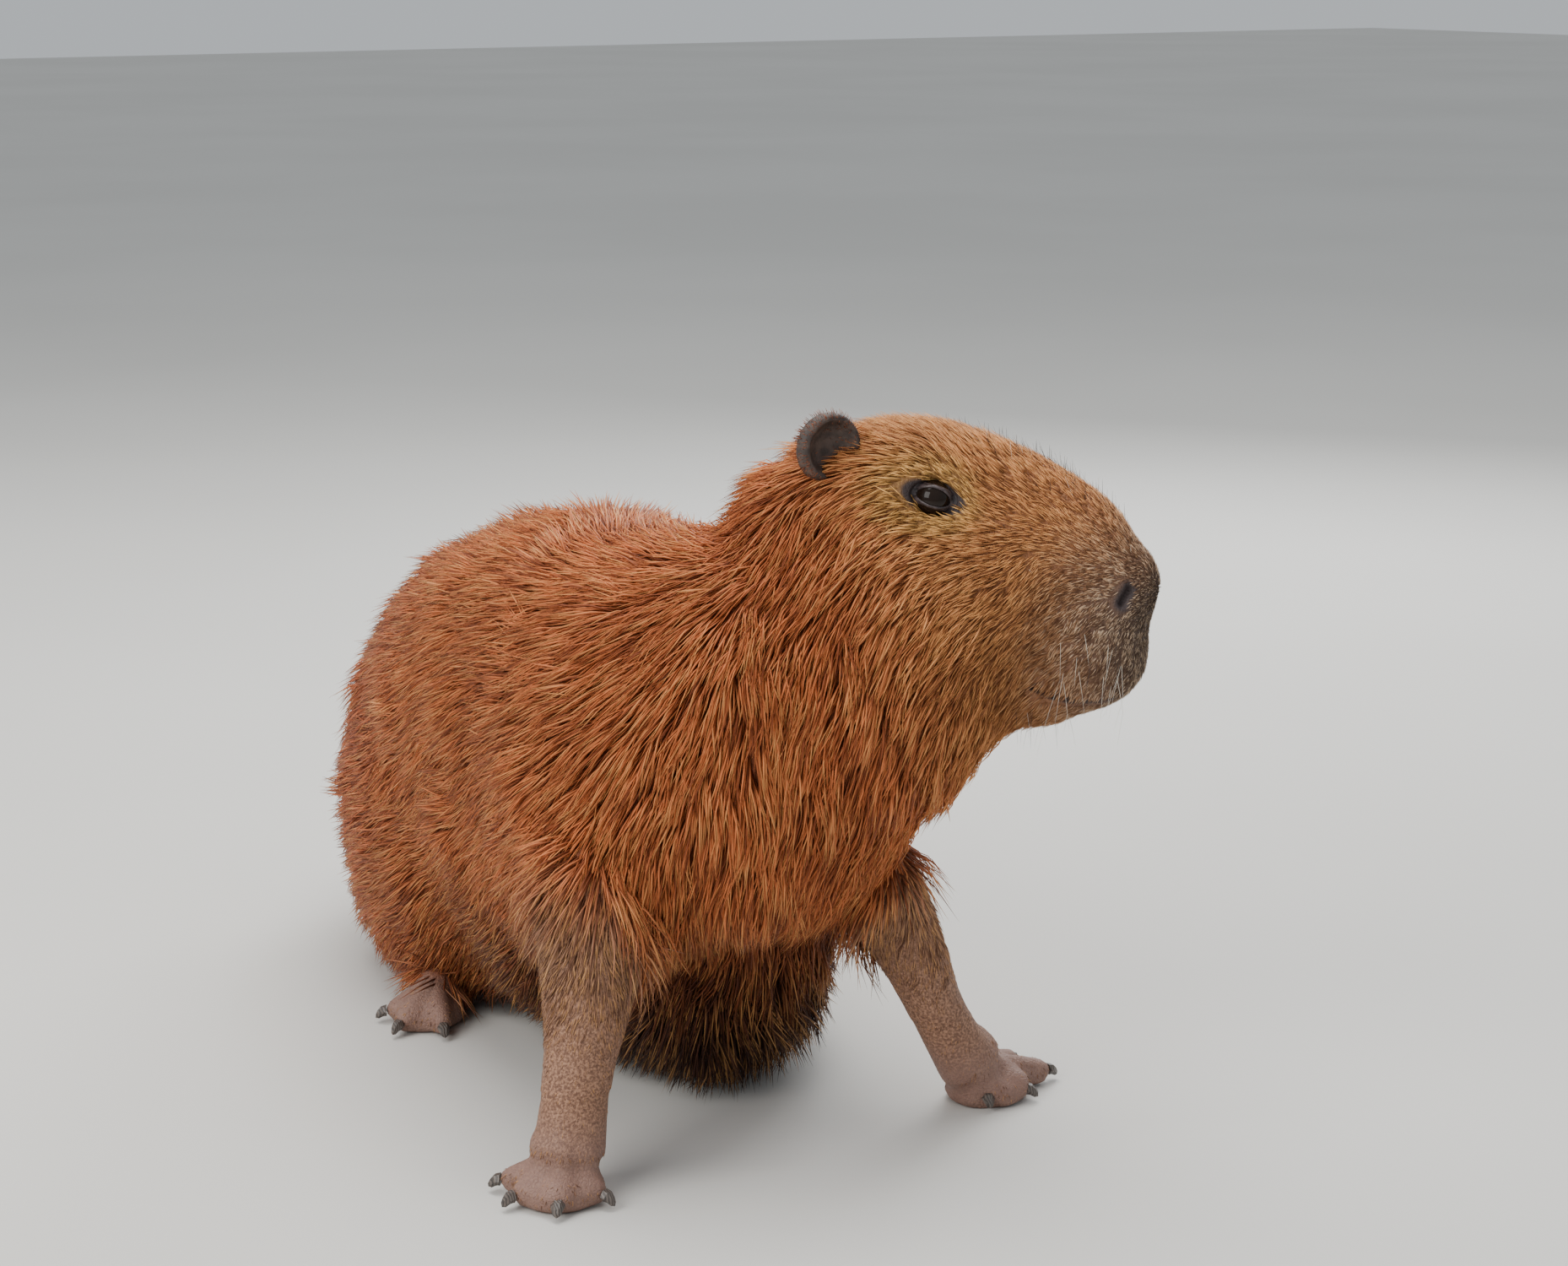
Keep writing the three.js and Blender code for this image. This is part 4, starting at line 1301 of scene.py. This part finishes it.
def whiskers():
    rng = np.random.default_rng(77)
    rows, halves, normals, across, tints = [], [], [], [], []

    def add(root, way, length, radius, droop, tint):
        if root is None:
            return
        t = np.linspace(0, 1, WHISKER_ROWS)[:, None]
        fall = UP * -droop * length * t**2
        line = root - way * 0.003 + way * length * t + fall
        line[:, 1] = np.maximum(line[:, 1], FRONT_END)
        rows.append(line)
        halves.append(radius * (1 - 0.8 * t[:-1, 0]))
        side = unit(np.cross(way, UP + 0.01))
        across.append(side)
        normals.append(np.cross(side, way))
        tints.append(tint)

    for side, sign in SIDES.items():
        out = HEAD_LEFT * sign
        for _ in range(20):
            f, u = rng.uniform(0.092, 0.140), rng.uniform(-0.150, -0.104)
            way = out * rng.uniform(0.4, 1.0) - HEAD_UP * rng.uniform(0.5, 1.2)
            way = unit(way + HEAD_FORWARD * rng.uniform(-0.5, 0.15))
            tint = float(rng.random() < 0.6)
            add(on_side(side, f, u), way, rng.uniform(0.026, 0.058), 0.00019, 0.25, tint)
        for _ in range(9):
            f, u = rng.uniform(0.060, 0.110), rng.uniform(-0.178, -0.165)
            way = unit(out * 0.5 - HEAD_UP * rng.uniform(0.6, 1.2) + HEAD_FORWARD * rng.uniform(-0.3, 0.3))
            length = rng.uniform(0.016, 0.032)
            add(on_side(side, f, u), way, length, 0.00018, 0.2, float(rng.random() < 0.5))
        for _ in range(5):
            f, u = rng.uniform(-0.01, 0.03), rng.uniform(0.006, 0.020)
            way = unit(out * 0.8 + HEAD_UP * 0.8 - HEAD_FORWARD * rng.uniform(-0.3, 0.4))
            add(on_side(side, f, u), way, rng.uniform(0.022, 0.036), 0.00018, 0.1, 0.0)
    for _ in range(420):
        f, l = rng.uniform(0.010, 0.150), rng.normal() * 0.022
        start = in_head(f, l, 0.12)
        hit = first_skin.ray_cast(Vector(start), Vector(-HEAD_UP), 0.3)[0]
        root = np.array(hit) if hit else None
        way = HEAD_UP * 0.8 - HEAD_FORWARD * rng.uniform(-0.1, 0.8)
        way = unit(way + HEAD_LEFT * rng.normal() * 0.3)
        length = rng.uniform(0.009, 0.019)
        add(root, way, length, 0.00026, 0.0, float(rng.random() < 0.12))
    rows, halves, normals, across = map(np.array, (rows, halves, normals, across))
    skin_tree = bare_tree(skin_places, tri_points)
    nearest = [skin_tree.find_nearest(Vector(root))[2] for root in rows[:, 0]]
    layout = flat[tri_loops[nearest]].mean(axis=1)
    extra = {"tint": np.array(tints)}
    blades("whiskers", rows, halves, normals, across, extra, layout, whisker_material())
    return len(rows)


print("whiskers and bristles", whiskers())


# %% [markdown]
# ## Hair of the ears
#
# The ears look bare, but short hairs stand along their rim and blur it against the light. They start at
# points of the cup's own mesh, most of them far from its middle, and lie outwards and back.

# %% Ear hair
def ear_hair():
    rng = np.random.default_rng(55)
    rows, halves, normals, across, tints, layout = [], [], [], [], [], []
    for side in SIDES:
        mesh = cups[side].data
        places, outs = read_points(mesh), read_normals(mesh)
        centre = places.mean(axis=0)
        chosen = rng.choice(len(places), size=700, replace=False)
        root, normal = places[chosen], outs[chosen]
        rim = np.linalg.norm(root - centre, axis=1)
        keep = (rim > 0.012) | (rng.random(len(root)) < 0.35)
        root, normal = root[keep], normal[keep]
        away = unit(root - centre)
        way = away * 0.5 + normal * 0.35 - HEAD_FORWARD * 0.5
        way = unit(way + rng.normal(size=root.shape) * 0.15)
        length = rng.uniform(0.003, 0.006, len(root))[:, None]
        side_way = unit(np.cross(normal, way))
        bent, tip = root + way * length * 0.5, root + way * length - normal * 0.0006
        rows.append(np.stack([root - normal * 0.0008, bent, tip], axis=1))
        halves.append(np.tile([0.00022, 0.00018], (len(root), 1)))
        normals.append(np.cross(side_way, way))
        across.append(side_way)
        tints.append(rng.random(len(root)))
        # The ear laid flat: its front and its back are two discs, one above the other
        behind = 0.5 * ((normal @ HEAD_FORWARD) < 0)
        rel = (root - centre) * 9
        disc = vec(0.5 + 0.25 * SIDES[side], 0.25)
        layout.append(np.stack([disc[0] + rel @ HEAD_LEFT, disc[1] + behind + rel @ HEAD_UP], axis=1))
    rows, halves, normals, across, layout = map(np.vstack, (rows, halves, normals, across, layout))
    shares = {word: np.zeros(len(rows)) for word in SHARES}
    # Only dark tints, because the ears carry no golden hair
    shares["tint"] = np.concatenate(tints) * 0.28
    blades("ear_hair", rows, halves, normals, across, shares, layout, coat)
    return len(rows)


print("hairs on the ears", ear_hair())

# %% [markdown]
# ## Last steps
#
# Every piece says which body it rides on, and this animal is a single body. The skin stands for all
# the solids of flesh, the eyeballs and ear cups for their own solids, and the claws stay as they are.

# %% Last steps
for piece, slot, nodes in [
    (skin, "rust_coat", FLESH),
    (eyeballs["left"], "eye_gloss", ["eye_left"]),
    (eyeballs["right"], "eye_gloss", ["eye_right"]),
    (cups["left"], "ear_hide", ["ear_left"]),
    (cups["right"], "ear_hide", ["ear_right"]),
    (lids["left"], "leg_hide", []),
    (lids["right"], "leg_hide", []),
]:
    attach(piece, "root")
    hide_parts(*nodes)
bpy.context.view_layer.update()
